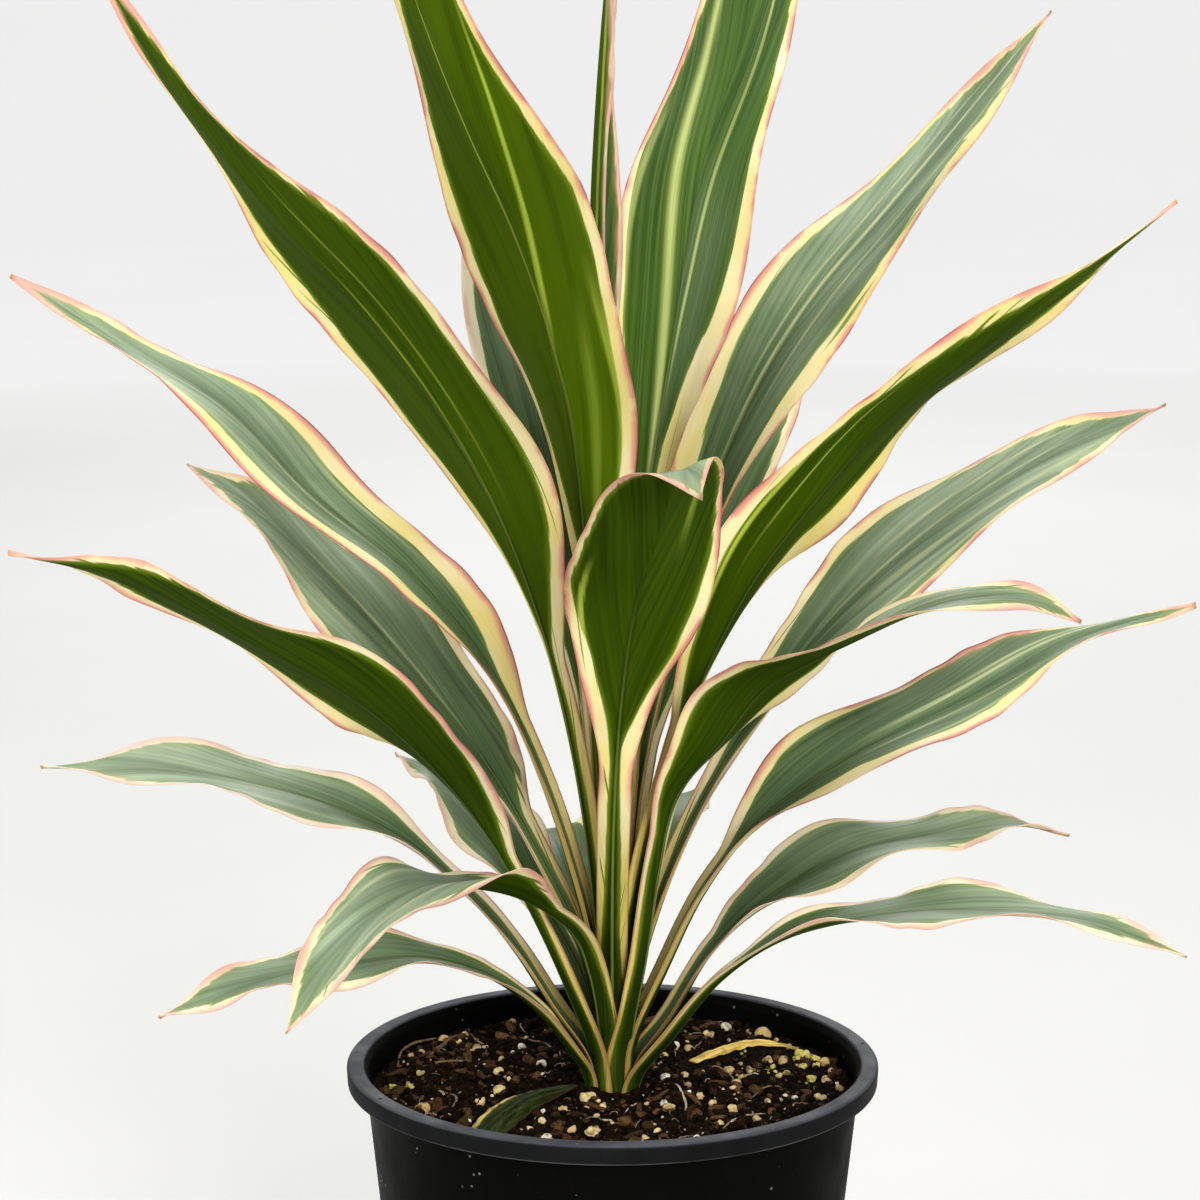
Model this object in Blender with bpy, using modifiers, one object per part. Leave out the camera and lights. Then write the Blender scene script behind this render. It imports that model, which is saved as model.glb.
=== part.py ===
"""Potted cordyline: a rosette of strap leaves with waved edges on a short stem, in a round nursery pot.

Metres, +Z up. The origin is the centre of the pot's flat underside, and -Y is the plant's front.
"""

import math
import random

import bmesh
import bpy
import numpy as np
from mathutils import Vector, noise

# Pot
RIM_RADIUS = 0.110
RIM_DROP = 0.008
RIM_WALL = 0.0020
RIM_LIP = 0.001
RIM_DRAFT = 0.0004
POT_HEIGHT = 0.180
POT_WALL = 0.0016
POT_FLOOR = 0.0025
NECK_RADIUS = 0.1030
BASE_RADIUS = 0.0840
BASE_ROUND = 0.004
POT_STEPS = 48
DRAIN_HOLES = 8
DRAIN_RADIUS = 0.007
DRAIN_CIRCLE = 0.062

# Compost. Its relief begins between the radii of STEM_CALM, and ends between those of WALL_CALM.
SOIL_TOP = 0.168
FIT_GAP = 0.0003
SOIL_RINGS = 13
SOIL_RELIEF = 0.0024
RELIEF_SCALES = (45, 130)
STEM_CALM = (0.014, 0.030)
WALL_CALM = (0.090, 0.099)
GRAIN_COUNT = 44
GRAIN_SIZES = (0.0019, 0.0034)
GRAIN_REACH = 0.094
GRAIN_SPACING = 1.6
GRAIN_LIFT = 0.12
GRAIN_TILT = 0.5
GRAIN_SEED = 7

# Leaf litter lying on the compost: its route across the pot, half its width, how far its middle arches, the
# share of its width that its tip keeps, and how far round it the compost is level and then uneven again
CUT_LEAF = ((-0.050, -0.064), (-0.043, -0.044), (-0.032, -0.024), (-0.016, -0.004))
CUT_LEAF_HALF = 0.0075
DRY_STRIP = ((0.034, 0.028), (0.047, 0.041), (0.063, 0.052), (0.080, 0.046))
DRY_STRIP_HALF = 0.0026
LITTER_ARCH = 0.0016
LITTER_ROWS = 10
LITTER_TIP = 0.25
LITTER_CALM = (0.010, 0.019)

# Stem
STEM_RADIUS = 0.0088
STEM_TOP_RADIUS = 0.0030
STEM_HEIGHT = 0.094
STEM_DEPTH = 0.025
STEM_STEPS = 16

# Leaves. The pairs are the shares of a leaf's length between which each change happens.
BLADE_THICKNESS = 0.0009
LEAF_ROWS = 18
LEAF_COLUMNS = 4
PETIOLE_SHARE = 0.27
CHANNEL_RADIUS = 0.0080
CHANNEL_OPENS = (0.10, 0.55)
BLADE_OPENS = (0.20, 0.50)
BLADE_ROLLS = (0.15, 0.55)
TIP_ROLLS = (0.55, 0.85)
TIP_CALMS = (0.85, 1.00)
TIP_CALM = 0.6
TIP_HALF = 0.0008
FOLD_ROUND = 0.002
WAVES = 3.4
WAVE_POWER = 2.2
FAR_EDGE_PHASE = 0.37
SWAY_POWER = 2.5
NEARLY_FLAT = 0.001


def leaf(name, azimuth, attach, width, path, roll=(0, 0), peak=0.42, phase=0.0, sway=0.0, stalk=0.0056,
         fold=0.20, wave=0.0035):
    """One leaf. azimuth, in degrees, is counted from +X towards +Y.

    attach is the height above the compost at which the leaf leaves the stem, width its blade's greatest
    width, and path the points that it passes, midway between its edges, as (out from the stem's axis, up
    from the compost) in metres.
    roll is its turn about that line, in degrees, at the blade's middle and at its tip, and peak the share
    of the blade's length at which it is widest. sway is how far its tip leans to its left, stalk half the
    width of its foot, fold the slope of its two halves, and wave the height of its edges' waves.
    """
    return dict(name=name, azimuth=azimuth, attach=attach, width=width, path=path, roll=roll, peak=peak,
                phase=phase, sway=sway, stalk=stalk, fold=fold, wave=wave)


LEAVES = (
    leaf("leaf_low_left", 188, 0.005, 0.036, roll=(-18, -16), peak=0.48, phase=0.3, path=(
        (0.030, 0.033), (0.052, 0.050), (0.080, 0.060), (0.112, 0.059), (0.148, 0.052), (0.186, 0.037))),
    leaf("leaf_low_right", -18, 0.004, 0.036, roll=(8, 10), phase=0.7, path=(
        (0.024, 0.022), (0.046, 0.050), (0.075, 0.072), (0.110, 0.085), (0.155, 0.091), (0.200, 0.088),
        (0.235, 0.076))),
    leaf("leaf_right_drooping", 14, 0.009, 0.038, roll=(20, 14), peak=0.36, phase=0.1, path=(
        (0.024, 0.027), (0.042, 0.055), (0.068, 0.079), (0.102, 0.096), (0.142, 0.101), (0.175, 0.102),
        (0.200, 0.095))),
    leaf("leaf_left_level", 165, 0.011, 0.040, roll=(-14, -18), peak=0.52, phase=0.5, path=(
        (0.024, 0.030), (0.042, 0.056), (0.066, 0.082), (0.098, 0.105), (0.140, 0.119), (0.200, 0.126),
        (0.254, 0.120))),
    leaf("leaf_front_drooping", 232, 0.030, 0.050, roll=(4, -8), phase=0.2, path=(
        (0.014, 0.052), (0.023, 0.069), (0.045, 0.086), (0.080, 0.105), (0.116, 0.114), (0.148, 0.107),
        (0.174, 0.090), (0.194, 0.070))),
    leaf("leaf_left_dark", 202, 0.018, 0.046, roll=(34, 28), peak=0.38, phase=0.9, path=(
        (0.016, 0.036), (0.030, 0.068), (0.052, 0.110), (0.078, 0.147), (0.108, 0.175), (0.151, 0.201),
        (0.200, 0.227), (0.245, 0.238))),
    leaf("leaf_right_long", 6, 0.020, 0.048, roll=(26, 18), peak=0.38, phase=0.4, path=(
        (0.020, 0.046), (0.038, 0.083), (0.062, 0.114), (0.095, 0.140), (0.142, 0.163), (0.190, 0.186),
        (0.242, 0.198))),
    leaf("leaf_front_right_arched", -34, 0.024, 0.048, roll=(-14, 24), peak=0.42, phase=0.6, path=(
        (0.015, 0.056), (0.022, 0.098), (0.030, 0.128), (0.048, 0.152), (0.070, 0.180), (0.108, 0.202),
        (0.150, 0.220), (0.186, 0.224), (0.208, 0.216))),
    leaf("leaf_back_left_pale", 150, 0.034, 0.052, roll=(-20, -16), phase=0.15, path=(
        (0.014, 0.056), (0.036, 0.094), (0.065, 0.137), (0.102, 0.175), (0.140, 0.206), (0.180, 0.233),
        (0.214, 0.246))),
    leaf("leaf_right_upper", 22, 0.034, 0.050, roll=(22, 22), peak=0.50, phase=0.8, path=(
        (0.014, 0.056), (0.024, 0.084), (0.043, 0.122), (0.070, 0.161), (0.102, 0.196), (0.145, 0.228),
        (0.202, 0.257), (0.256, 0.273))),
    leaf("leaf_front_centre", 269, 0.046, 0.058, roll=(0, 14), peak=0.58, phase=0.35, sway=0.022, path=(
        (0.017, 0.085), (0.036, 0.138), (0.062, 0.186), (0.098, 0.236), (0.135, 0.271), (0.160, 0.280),
        (0.182, 0.268))),
    leaf("leaf_right_dark", -28, 0.050, 0.046, roll=(-26, -18), peak=0.36, phase=0.55, path=(
        (0.013, 0.090), (0.025, 0.134), (0.040, 0.178), (0.062, 0.222), (0.087, 0.254), (0.116, 0.286),
        (0.150, 0.311), (0.190, 0.339), (0.232, 0.370))),
    leaf("leaf_left_pale", 163, 0.048, 0.046, roll=(-20, -20), peak=0.40, phase=0.05, path=(
        (0.014, 0.080), (0.030, 0.128), (0.055, 0.178), (0.087, 0.215), (0.127, 0.244), (0.167, 0.280),
        (0.215, 0.304), (0.266, 0.330))),
    leaf("leaf_back_right_pale", 38, 0.060, 0.050, roll=(20, 14), phase=0.75, path=(
        (0.014, 0.128), (0.029, 0.184), (0.049, 0.244), (0.074, 0.288), (0.106, 0.325), (0.143, 0.356),
        (0.189, 0.394), (0.243, 0.440))),
    leaf("leaf_left_tall_dark", 214, 0.060, 0.056, roll=(26, 12), peak=0.40, phase=0.45, stalk=0.0050, path=(
        (0.012, 0.110), (0.021, 0.155), (0.034, 0.200), (0.053, 0.248), (0.079, 0.290), (0.111, 0.329),
        (0.152, 0.369), (0.190, 0.412), (0.222, 0.455))),
    leaf("leaf_back_left_tall", 122, 0.068, 0.064, roll=(-8, 0), phase=0.25, stalk=0.0046, path=(
        (0.013, 0.130), (0.028, 0.225), (0.046, 0.285), (0.060, 0.322), (0.073, 0.358), (0.104, 0.402),
        (0.145, 0.452))),
    leaf("leaf_top_left", 230, 0.080, 0.062, roll=(10, 6), peak=0.42, phase=0.65, stalk=0.0044, path=(
        (0.010, 0.150), (0.015, 0.220), (0.022, 0.280), (0.035, 0.320), (0.054, 0.360), (0.077, 0.396),
        (0.101, 0.436), (0.142, 0.512))),
    leaf("leaf_top_right", 52, 0.078, 0.060, roll=(10, 4), peak=0.50, phase=0.95, stalk=0.0044, path=(
        (0.012, 0.130), (0.019, 0.225), (0.031, 0.285), (0.041, 0.326), (0.055, 0.376), (0.084, 0.430),
        (0.122, 0.528))),
    leaf("leaf_spear", 95, 0.093, 0.024, roll=(72, 78), fold=0.9, wave=0.001, phase=0.1, stalk=0.0034, path=(
        (0.003, 0.150), (0.002, 0.260), (0.001, 0.360), (0.001, 0.440), (-0.002, 0.500))),
    leaf("leaf_back_low_left", 133, 0.0215, 0.040, roll=(-6, 0), phase=0.33, path=(
        (0.022, 0.046), (0.044, 0.070), (0.072, 0.096), (0.108, 0.114), (0.140, 0.118))),
    leaf("leaf_back_low_right", 76, 0.014, 0.042, phase=0.53, sway=0.012, path=(
        (0.026, 0.044), (0.056, 0.078), (0.096, 0.096), (0.140, 0.094), (0.182, 0.076))),
    leaf("leaf_back_mid", 94, 0.027, 0.052, phase=0.73, sway=0.010, path=(
        (0.021, 0.076), (0.044, 0.138), (0.078, 0.202), (0.125, 0.256), (0.175, 0.288), (0.222, 0.298))),
    leaf("leaf_back_right_mid", 62, 0.042, 0.052, roll=(6, 6), phase=0.13, path=(
        (0.016, 0.096), (0.036, 0.156), (0.070, 0.214), (0.118, 0.262), (0.165, 0.292), (0.212, 0.306))),
    leaf("leaf_back_low", 106, 0.008, 0.040, phase=0.83, sway=-0.010, path=(
        (0.030, 0.038), (0.066, 0.068), (0.112, 0.082), (0.172, 0.068))),
)


def ramp(x, low, high):
    """0 below low, 1 above high, and smooth between."""
    x = min(1.0, max(0.0, (x - low) / (high - low)))
    return x * x * (3 - 2 * x)


def stem_radius(up):
    share = min(1.0, max(0.0, up / STEM_HEIGHT))
    return STEM_RADIUS + (STEM_TOP_RADIUS - STEM_RADIUS) * share


def between(p, q, start, end, x):
    """The point on the line that passes p at start and q at end, at x."""
    return p + (q - p) * (x - start) / (end - start)


def curve_through(points, per_span=12):
    """A smooth curve through the points, a centripetal Catmull-Rom spline, as a dense list of points."""
    points = np.array(points, float)
    row = np.vstack([2 * points[0] - points[1], points, 2 * points[-1] - points[-2]])
    dense = []
    for a, b, c, d in zip(row, row[1:], row[2:], row[3:]):
        spans = [math.sqrt(np.linalg.norm(q - p)) for p, q in ((a, b), (b, c), (c, d))]
        k0, k1, k2, k3 = np.cumsum([0.0] + spans)
        for x in np.linspace(k1, k2, per_span, endpoint=False):
            ab, bc, cd = between(a, b, k0, k1, x), between(b, c, k1, k2, x), between(c, d, k2, k3, x)
            dense.append(between(between(ab, bc, k0, k2, x), between(bc, cd, k1, k3, x), k1, k2, x))
    dense.append(points[-1])
    return np.array(dense)


def position_at(points, shares, s):
    """The point of the line at share s of its length."""
    return np.array([np.interp(s, shares, column) for column in points.T])


def direction_at(points, shares, s, step):
    """The line's direction at share s of its length, read from a step behind it to a step ahead."""
    way = position_at(points, shares, min(1, s + step)) - position_at(points, shares, max(0, s - step))
    return way / np.linalg.norm(way)


def midrib(spec):
    """The leaf's midrib: its points, the share of its length at each, and the direction to its left."""
    a = math.radians(spec["azimuth"])
    outward = np.array([math.cos(a), math.sin(a), 0])
    left = np.array([-math.sin(a), math.cos(a), 0])
    upward = np.array([0, 0, 1])
    start = (stem_radius(spec["attach"]) + FIT_GAP + BLADE_THICKNESS / 2, spec["attach"])
    points = curve_through([outward * o + upward * (SOIL_TOP + u) for o, u in (start, *spec["path"])])
    run = np.concatenate([[0], np.cumsum(np.linalg.norm(np.diff(points, axis=0), axis=1))])
    shares = run / run[-1]
    return points + spec["sway"] * np.outer(shares ** SWAY_POWER, left), shares, left


def half_width(spec, s):
    """Half the leaf's width at share s of its length: a narrow stalk, then a long blade with a fine tip."""
    u = max(0.0, (s - PETIOLE_SHARE) / (1 - PETIOLE_SHARE))
    power = math.log(0.5) / math.log(spec["peak"])
    blade = 0.5 * spec["width"] * math.sin(math.pi * u ** power) if 0 < u < 1 else 0.0
    return max(TIP_HALF, math.hypot(blade, spec["stalk"] * (1 - u) ** 2))


def blade_axes(spec, line, s):
    """The directions across the leaf and out of its upper side, at share s of its length."""
    points, shares, left = line
    tangent = direction_at(points, shares, s, 0.01)
    side = left - tangent * (left @ tangent)
    side /= np.linalg.norm(side)
    normal = np.cross(tangent, side)
    middle, tip = spec["roll"]
    turn = math.radians(middle * ramp(s, *BLADE_ROLLS) + (tip - middle) * ramp(s, *TIP_ROLLS))
    cos, sin = math.cos(turn), math.sin(turn)
    return side * cos + normal * sin, normal * cos - side * sin


def leaf_point(spec, line, s, t):
    """The point of the leaf's middle surface at share s of its length and t, from -1 to 1, across it."""
    side, normal = blade_axes(spec, line, s)
    half = half_width(spec, s)
    bend = (1 - ramp(s, *CHANNEL_OPENS)) / CHANNEL_RADIUS + NEARLY_FLAT
    angle = half * t * bend
    across = math.sin(angle) / bend
    channel = (1 - math.cos(angle)) / bend
    blade = ramp(s, *BLADE_OPENS)
    fold = blade * spec["fold"] * (math.hypot(across, FOLD_ROUND) - half)
    height = blade * (1 - TIP_CALM * ramp(s, *TIP_CALMS)) * spec["wave"] * abs(t) ** WAVE_POWER
    phase = WAVES * s + spec["phase"] + (FAR_EDGE_PHASE if t > 0 else 0.0)
    rise = channel + fold + height * math.sin(2 * math.pi * phase)
    points, shares, _ = line
    return position_at(points, shares, s) + side * across + normal * rise


def finish_object(obj, name, material):
    obj.name = name
    obj.data.name = name
    obj.data.materials.clear()
    obj.data.materials.append(material)
    return obj


def make_material(name, colour, roughness):
    material = bpy.data.materials.new(name)
    material.use_nodes = True
    shader = material.node_tree.nodes["Principled BSDF"]
    shader.inputs["Base Color"].default_value = (*colour, 1)
    shader.inputs["Roughness"].default_value = roughness
    shader.inputs["Metallic"].default_value = 0.0
    return material


def add_mesh(collection, name, mesh):
    obj = bpy.data.objects.new(name, mesh)
    collection.objects.link(obj)
    return obj


def turned(collection, name, profile, steps):
    """A profile of (radius, height) points turned about +Z, listed from top to bottom on its outer side."""
    mesh = bpy.data.meshes.new(name)
    mesh.from_pydata([(r, 0, z) for r, z in profile], [(i, i + 1) for i in range(len(profile) - 1)], [])
    obj = add_mesh(collection, name, mesh)
    screw = obj.modifiers.new("turn", "SCREW")
    screw.steps = screw.render_steps = steps
    screw.use_merge_vertices = True
    screw.merge_threshold = 0.00005
    return obj


def applied(obj):
    """The object with its modifiers made into its mesh."""
    graph = bpy.context.evaluated_depsgraph_get()
    mesh = bpy.data.meshes.new_from_object(obj.evaluated_get(graph))
    obj.modifiers.clear()
    obj.data = mesh
    return obj


def thickened(collection, name, sheet, material):
    """An object from a sheet of faces, split alike on both of its sides and given the blade's thickness."""
    bmesh.ops.triangulate(sheet, faces=sheet.faces, quad_method="FIXED")
    mesh = bpy.data.meshes.new(name)
    sheet.to_mesh(mesh)
    sheet.free()
    obj = add_mesh(collection, name, mesh)
    solid = obj.modifiers.new("thickness", "SOLIDIFY")
    solid.thickness = BLADE_THICKNESS
    solid.offset = 0
    return finish_object(obj, name, material)


def make_leaf(collection, spec, material):
    line = midrib(spec)
    grid = bmesh.new()
    bmesh.ops.create_grid(grid, x_segments=LEAF_COLUMNS, y_segments=LEAF_ROWS, size=1)
    for vertex in grid.verts:
        t, s = vertex.co.x, (vertex.co.y + 1) / 2
        vertex.co = Vector(leaf_point(spec, line, s, t))
    return thickened(collection, spec["name"], grid, material)


def make_stem(collection, material):
    profile = [
        (0, STEM_HEIGHT), (STEM_TOP_RADIUS, STEM_HEIGHT), (STEM_RADIUS, 0), (STEM_RADIUS, -STEM_DEPTH),
        (0, -STEM_DEPTH),
    ]
    obj = turned(collection, "stem", [(r, SOIL_TOP + z) for r, z in profile], STEM_STEPS)
    return finish_object(obj, "stem", material)


def wall_radius(z):
    """The pot's outer radius below the rim, at height z."""
    return BASE_RADIUS + (NECK_RADIUS - BASE_RADIUS) * z / POT_HEIGHT


def inside_radius(z):
    return wall_radius(z) - POT_WALL


def make_pot(collection, cutters, material):
    top, lip = POT_HEIGHT, RIM_LIP
    profile = [
        (0, POT_FLOOR), (inside_radius(POT_FLOOR), POT_FLOOR), (inside_radius(top - lip), top - lip),
        (inside_radius(top - lip) + lip, top), (RIM_RADIUS - lip, top), (RIM_RADIUS, top - lip),
        (RIM_RADIUS - RIM_DRAFT, top - RIM_DROP), (RIM_RADIUS - RIM_WALL, top - RIM_DROP),
        (RIM_RADIUS - RIM_WALL, top - RIM_WALL), (wall_radius(top - RIM_WALL), top - RIM_WALL),
        (wall_radius(BASE_ROUND), BASE_ROUND), (BASE_RADIUS - BASE_ROUND, 0), (0, 0),
    ]
    obj = turned(collection, "pot", profile, POT_STEPS)
    for i in range(DRAIN_HOLES):
        a = 2 * math.pi * (i + 0.5) / DRAIN_HOLES
        place = (DRAIN_CIRCLE * math.cos(a), DRAIN_CIRCLE * math.sin(a), 0)
        depth = 4 * POT_FLOOR
        bpy.ops.mesh.primitive_cylinder_add(vertices=12, radius=DRAIN_RADIUS, depth=depth, location=place)
        move_to(cutters, bpy.context.object, f"drain_cutter_{i + 1}")
    cut = obj.modifiers.new("drain_holes", "BOOLEAN")
    cut.operand_type = "COLLECTION"
    cut.collection = cutters
    return finish_object(obj, "pot", material)


def move_to(collection, obj, name):
    """Puts a helper in the collection, out of the render."""
    for owner in list(obj.users_collection):
        owner.objects.unlink(obj)
    collection.objects.link(obj)
    obj.name = name
    obj.hide_render = True
    obj.display_type = "WIRE"
    return obj


def litter_distance(x, y):
    """The distance from (x, y) to the nearest piece of litter's route."""
    routes = [curve_through(np.array(route), 6) for route in (CUT_LEAF, DRY_STRIP)]
    return min(np.linalg.norm(route - (x, y), axis=1).min() for route in routes)


def soil_relief(x, y):
    """How far the compost stands above its level: flat round the stem, at the wall and under the litter."""
    r = math.hypot(x, y)
    calm = ramp(r, *STEM_CALM) * (1 - ramp(r, *WALL_CALM)) * ramp(litter_distance(x, y), *LITTER_CALM)
    coarse, fine = (noise.noise(Vector((x * scale, y * scale, scale))) for scale in RELIEF_SCALES)
    return SOIL_RELIEF * calm * (coarse + 0.5 * fine)


def grain_places():
    """Seeded places and sizes for the grit, clear of the stem, the wall, the litter and each other."""
    draw = random.Random(GRAIN_SEED)
    chosen = []
    while len(chosen) < GRAIN_COUNT:
        r = GRAIN_REACH * math.sqrt(draw.uniform(0.06, 1.0))
        a = draw.uniform(0, 2 * math.pi)
        size = draw.uniform(*GRAIN_SIZES)
        x, y = r * math.cos(a), r * math.sin(a)
        near = any(math.hypot(x - px, y - py) < GRAIN_SPACING * (size + ps) for px, py, ps in chosen)
        if not near and litter_distance(x, y) > LITTER_CALM[0] + size:
            chosen.append((x, y, size))
    return chosen


def add_grit(soil, grit):
    """Fuses low grains to the compost, each sunk by almost half its height."""
    draw = random.Random(GRAIN_SEED + 1)
    for i, (x, y, size) in enumerate(grain_places()):
        bpy.ops.mesh.primitive_ico_sphere_add(subdivisions=1, radius=size)
        grain = move_to(grit, bpy.context.object, f"grain_{i + 1}")
        grain.scale = (draw.uniform(0.8, 1.3), draw.uniform(0.8, 1.3), draw.uniform(0.65, 0.9))
        tilt = [draw.uniform(-GRAIN_TILT, GRAIN_TILT) for _ in range(2)]
        grain.rotation_euler = (*tilt, draw.uniform(0, math.pi))
        grain.location = (x, y, SOIL_TOP + soil_relief(x, y) + GRAIN_LIFT * size)
    fuse = soil.modifiers.new("grit", "BOOLEAN")
    fuse.operation = "UNION"
    fuse.operand_type = "COLLECTION"
    fuse.collection = grit
    applied(soil)
    for grain in list(grit.objects):
        bpy.data.objects.remove(grain)


def make_soil(collection, grit, material):
    bottom = POT_FLOOR + FIT_GAP
    hole = STEM_RADIUS + FIT_GAP
    hole_floor = SOIL_TOP - STEM_DEPTH - FIT_GAP
    side = [(inside_radius(z) - FIT_GAP, z) for z in (SOIL_TOP, bottom)]
    rings = np.linspace(hole, side[0][0], SOIL_RINGS)[:-1]
    profile = [(0, hole_floor), (hole, hole_floor)] + [(r, SOIL_TOP) for r in rings] + side + [(0, bottom)]
    obj = applied(turned(collection, "soil", profile, POT_STEPS))
    for vertex in obj.data.vertices:
        if vertex.co.z > SOIL_TOP - 1e-4:
            vertex.co.z += soil_relief(vertex.co.x, vertex.co.y)
    add_grit(obj, grit)
    return finish_object(obj, "soil", material)


def make_litter(collection, name, route, half, material):
    """A thin strip of old leaf lying along its route on the compost, its middle arched, its tip narrowed."""
    line = curve_through(np.array(route))
    shares = np.linspace(0, 1, len(line))
    grid = bmesh.new()
    bmesh.ops.create_grid(grid, x_segments=2, y_segments=LITTER_ROWS, size=1)
    for vertex in grid.verts:
        t, s = vertex.co.x, (vertex.co.y + 1) / 2
        x, y = position_at(line, shares, s)
        along = direction_at(line, shares, s, 0.05)
        across = t * half * (1 - (1 - LITTER_TIP) * s ** 3)
        rise = SOIL_TOP + FIT_GAP + BLADE_THICKNESS / 2 + LITTER_ARCH * (1 - t * t) * math.sin(math.pi * s)
        vertex.co = Vector((x - along[1] * across, y + along[0] * across, rise))
    return thickened(collection, name, grid, material)


def clear_scene():
    for obj in list(bpy.data.objects):
        bpy.data.objects.remove(obj)


def new_collection(name):
    collection = bpy.data.collections.new(name)
    bpy.context.scene.collection.children.link(collection)
    return collection


def main():
    clear_scene()
    plant = new_collection("potted_cordyline")
    cutters = new_collection("cutters")
    grit = new_collection("grit")
    black = make_material("pot_plastic", (0.012, 0.012, 0.013), 0.55)
    earth = make_material("compost", (0.022, 0.014, 0.009), 0.95)
    green = make_material("leaf_green", (0.050, 0.110, 0.030), 0.45)
    stalk = make_material("stem_green", (0.130, 0.160, 0.050), 0.60)
    faded = make_material("faded_leaf", (0.180, 0.160, 0.050), 0.80)
    straw = make_material("dry_leaf", (0.420, 0.310, 0.130), 0.85)
    make_pot(plant, cutters, black)
    make_soil(plant, grit, earth)
    make_stem(plant, stalk)
    make_litter(plant, "cut_leaf_piece", CUT_LEAF, CUT_LEAF_HALF, faded)
    make_litter(plant, "dry_leaf_strip", DRY_STRIP, DRY_STRIP_HALF, straw)
    for spec in LEAVES:
        make_leaf(plant, spec, green)


main()
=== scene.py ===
"""Potted cordyline: the finish, the fine shapes, the light and the camera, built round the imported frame.

Metres, +Z up. The origin is the centre of the pot's flat underside, and -Y is the plant's front.
"""

import math
import random
from types import SimpleNamespace

import bmesh
import bpy
import numpy as np
from mathutils import Euler, Matrix, Vector, noise


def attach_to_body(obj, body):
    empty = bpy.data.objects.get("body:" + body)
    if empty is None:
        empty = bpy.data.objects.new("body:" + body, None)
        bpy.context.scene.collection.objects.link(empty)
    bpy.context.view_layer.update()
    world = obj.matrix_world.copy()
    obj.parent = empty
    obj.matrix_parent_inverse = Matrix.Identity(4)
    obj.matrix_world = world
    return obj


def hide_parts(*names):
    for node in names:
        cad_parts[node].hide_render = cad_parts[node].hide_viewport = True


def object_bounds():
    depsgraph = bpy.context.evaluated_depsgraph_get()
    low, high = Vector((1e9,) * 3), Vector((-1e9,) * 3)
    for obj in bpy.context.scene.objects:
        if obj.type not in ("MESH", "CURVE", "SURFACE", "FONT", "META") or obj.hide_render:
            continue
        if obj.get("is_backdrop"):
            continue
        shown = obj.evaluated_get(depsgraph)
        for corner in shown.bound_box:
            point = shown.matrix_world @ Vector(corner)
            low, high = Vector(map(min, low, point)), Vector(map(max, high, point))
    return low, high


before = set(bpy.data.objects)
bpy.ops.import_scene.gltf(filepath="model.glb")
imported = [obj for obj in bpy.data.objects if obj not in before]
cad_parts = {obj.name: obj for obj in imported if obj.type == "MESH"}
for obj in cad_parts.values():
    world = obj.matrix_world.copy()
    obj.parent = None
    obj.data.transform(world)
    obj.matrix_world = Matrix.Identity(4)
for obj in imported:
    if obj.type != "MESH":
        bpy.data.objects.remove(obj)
CAD_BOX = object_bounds()
TURN = 2 * math.pi

# Camera, as the photograph's: its place, how far it looks down and to the left, and its field of view
CAMERA_PLACE = (0.0, -1.300, 0.597)
CAMERA_DOWN = 9.79
CAMERA_LEFT = 0.2286
SENSOR = 36.0
FOCAL_IN_FRAMES = 3258 / 1200
CAMERA_REACH = 60

# Light: each lamp's name, place, size, power and colour
LIGHTS = (
    ("sky_light", (-0.5, 0.3, 3.0), 2.2, 50, (1.0, 0.99, 0.96)),
    ("back_light", (0.3, 3.4, 2.2), 2.2, 40, (1.0, 1.0, 1.0)),
    ("front_fill", (1.2, -2.9, 1.5), 1.5, 78, (1.0, 0.98, 0.93)),
    ("left_light", (-2.7, -1.0, 1.5), 1.5, 44, (0.99, 0.99, 1.0)),
)
LIT_POINT = (0, 0, 0.38)
WORLD_COLOUR = (0.92, 0.95, 1.0)
WORLD_STRENGTH = 0.50

# Floor: the radii of its rings, level as far as FLOOR_LEVEL and FLOOR_RISE high at the last
FLOOR_RINGS = (0.02, 1, 2, 4, 6, 7, 8, 9, 10, 11, 12, 13)
FLOOR_LEVEL = 6
FLOOR_RISE = 6.5
FLOOR_CURVE = 2.2
FLOOR_STEPS = 96
FLOOR_DARK, FLOOR_LIGHT = (0.51, 0.505, 0.49), (0.54, 0.535, 0.52)
FLOOR_GLOW = (1.0, 1.0, 0.99)

# Pot: the solid's sizes
RIM_RADIUS = 0.110
RIM_DROP = 0.008
RIM_WALL = 0.0020
RIM_DRAFT = 0.0004
POT_HEIGHT = 0.180
POT_WALL = 0.0016
POT_FLOOR = 0.0025
NECK_RADIUS = 0.1030
BASE_RADIUS = 0.0840
BASE_ROUND = 0.004
DRAIN_HOLES = 8
DRAIN_RADIUS = 0.007
DRAIN_CIRCLE = 0.062

# Pot: the fine form. The corners are the radii of its outline's corners, from inside its foot over the rim.
POT_STEPS = 224
POT_SPACING = 0.008
POT_CORNERS = (0.003, 0.0010, 0.0008, 0.0008, 0.0010, 0.0006, 0.0006, 0.0005, 0.0008, 0.003, 0.003)
RIM_LIP = 0.001
RIM_BEVEL = (0.0022, 0.0036)
PINHOLES = ((-0.1060, 0.0070), (-0.0920, -0.0533), (0.1052, 0.0200))
PINHOLE_RADIUS = 0.0009
PINHOLE_INSET = 0.0030
PINHOLE_DEPTH = 0.0012
SHARP_ANGLE = 40
NEAR_AXIS = 0.002
CORNER_STEPS = 4
CORNER_MOST = 0.48
DRAIN_SIDES = 32
DRAIN_ROD = 0.01
PINHOLE_SIDES = 16
PINHOLE_ROD = 0.004

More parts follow.
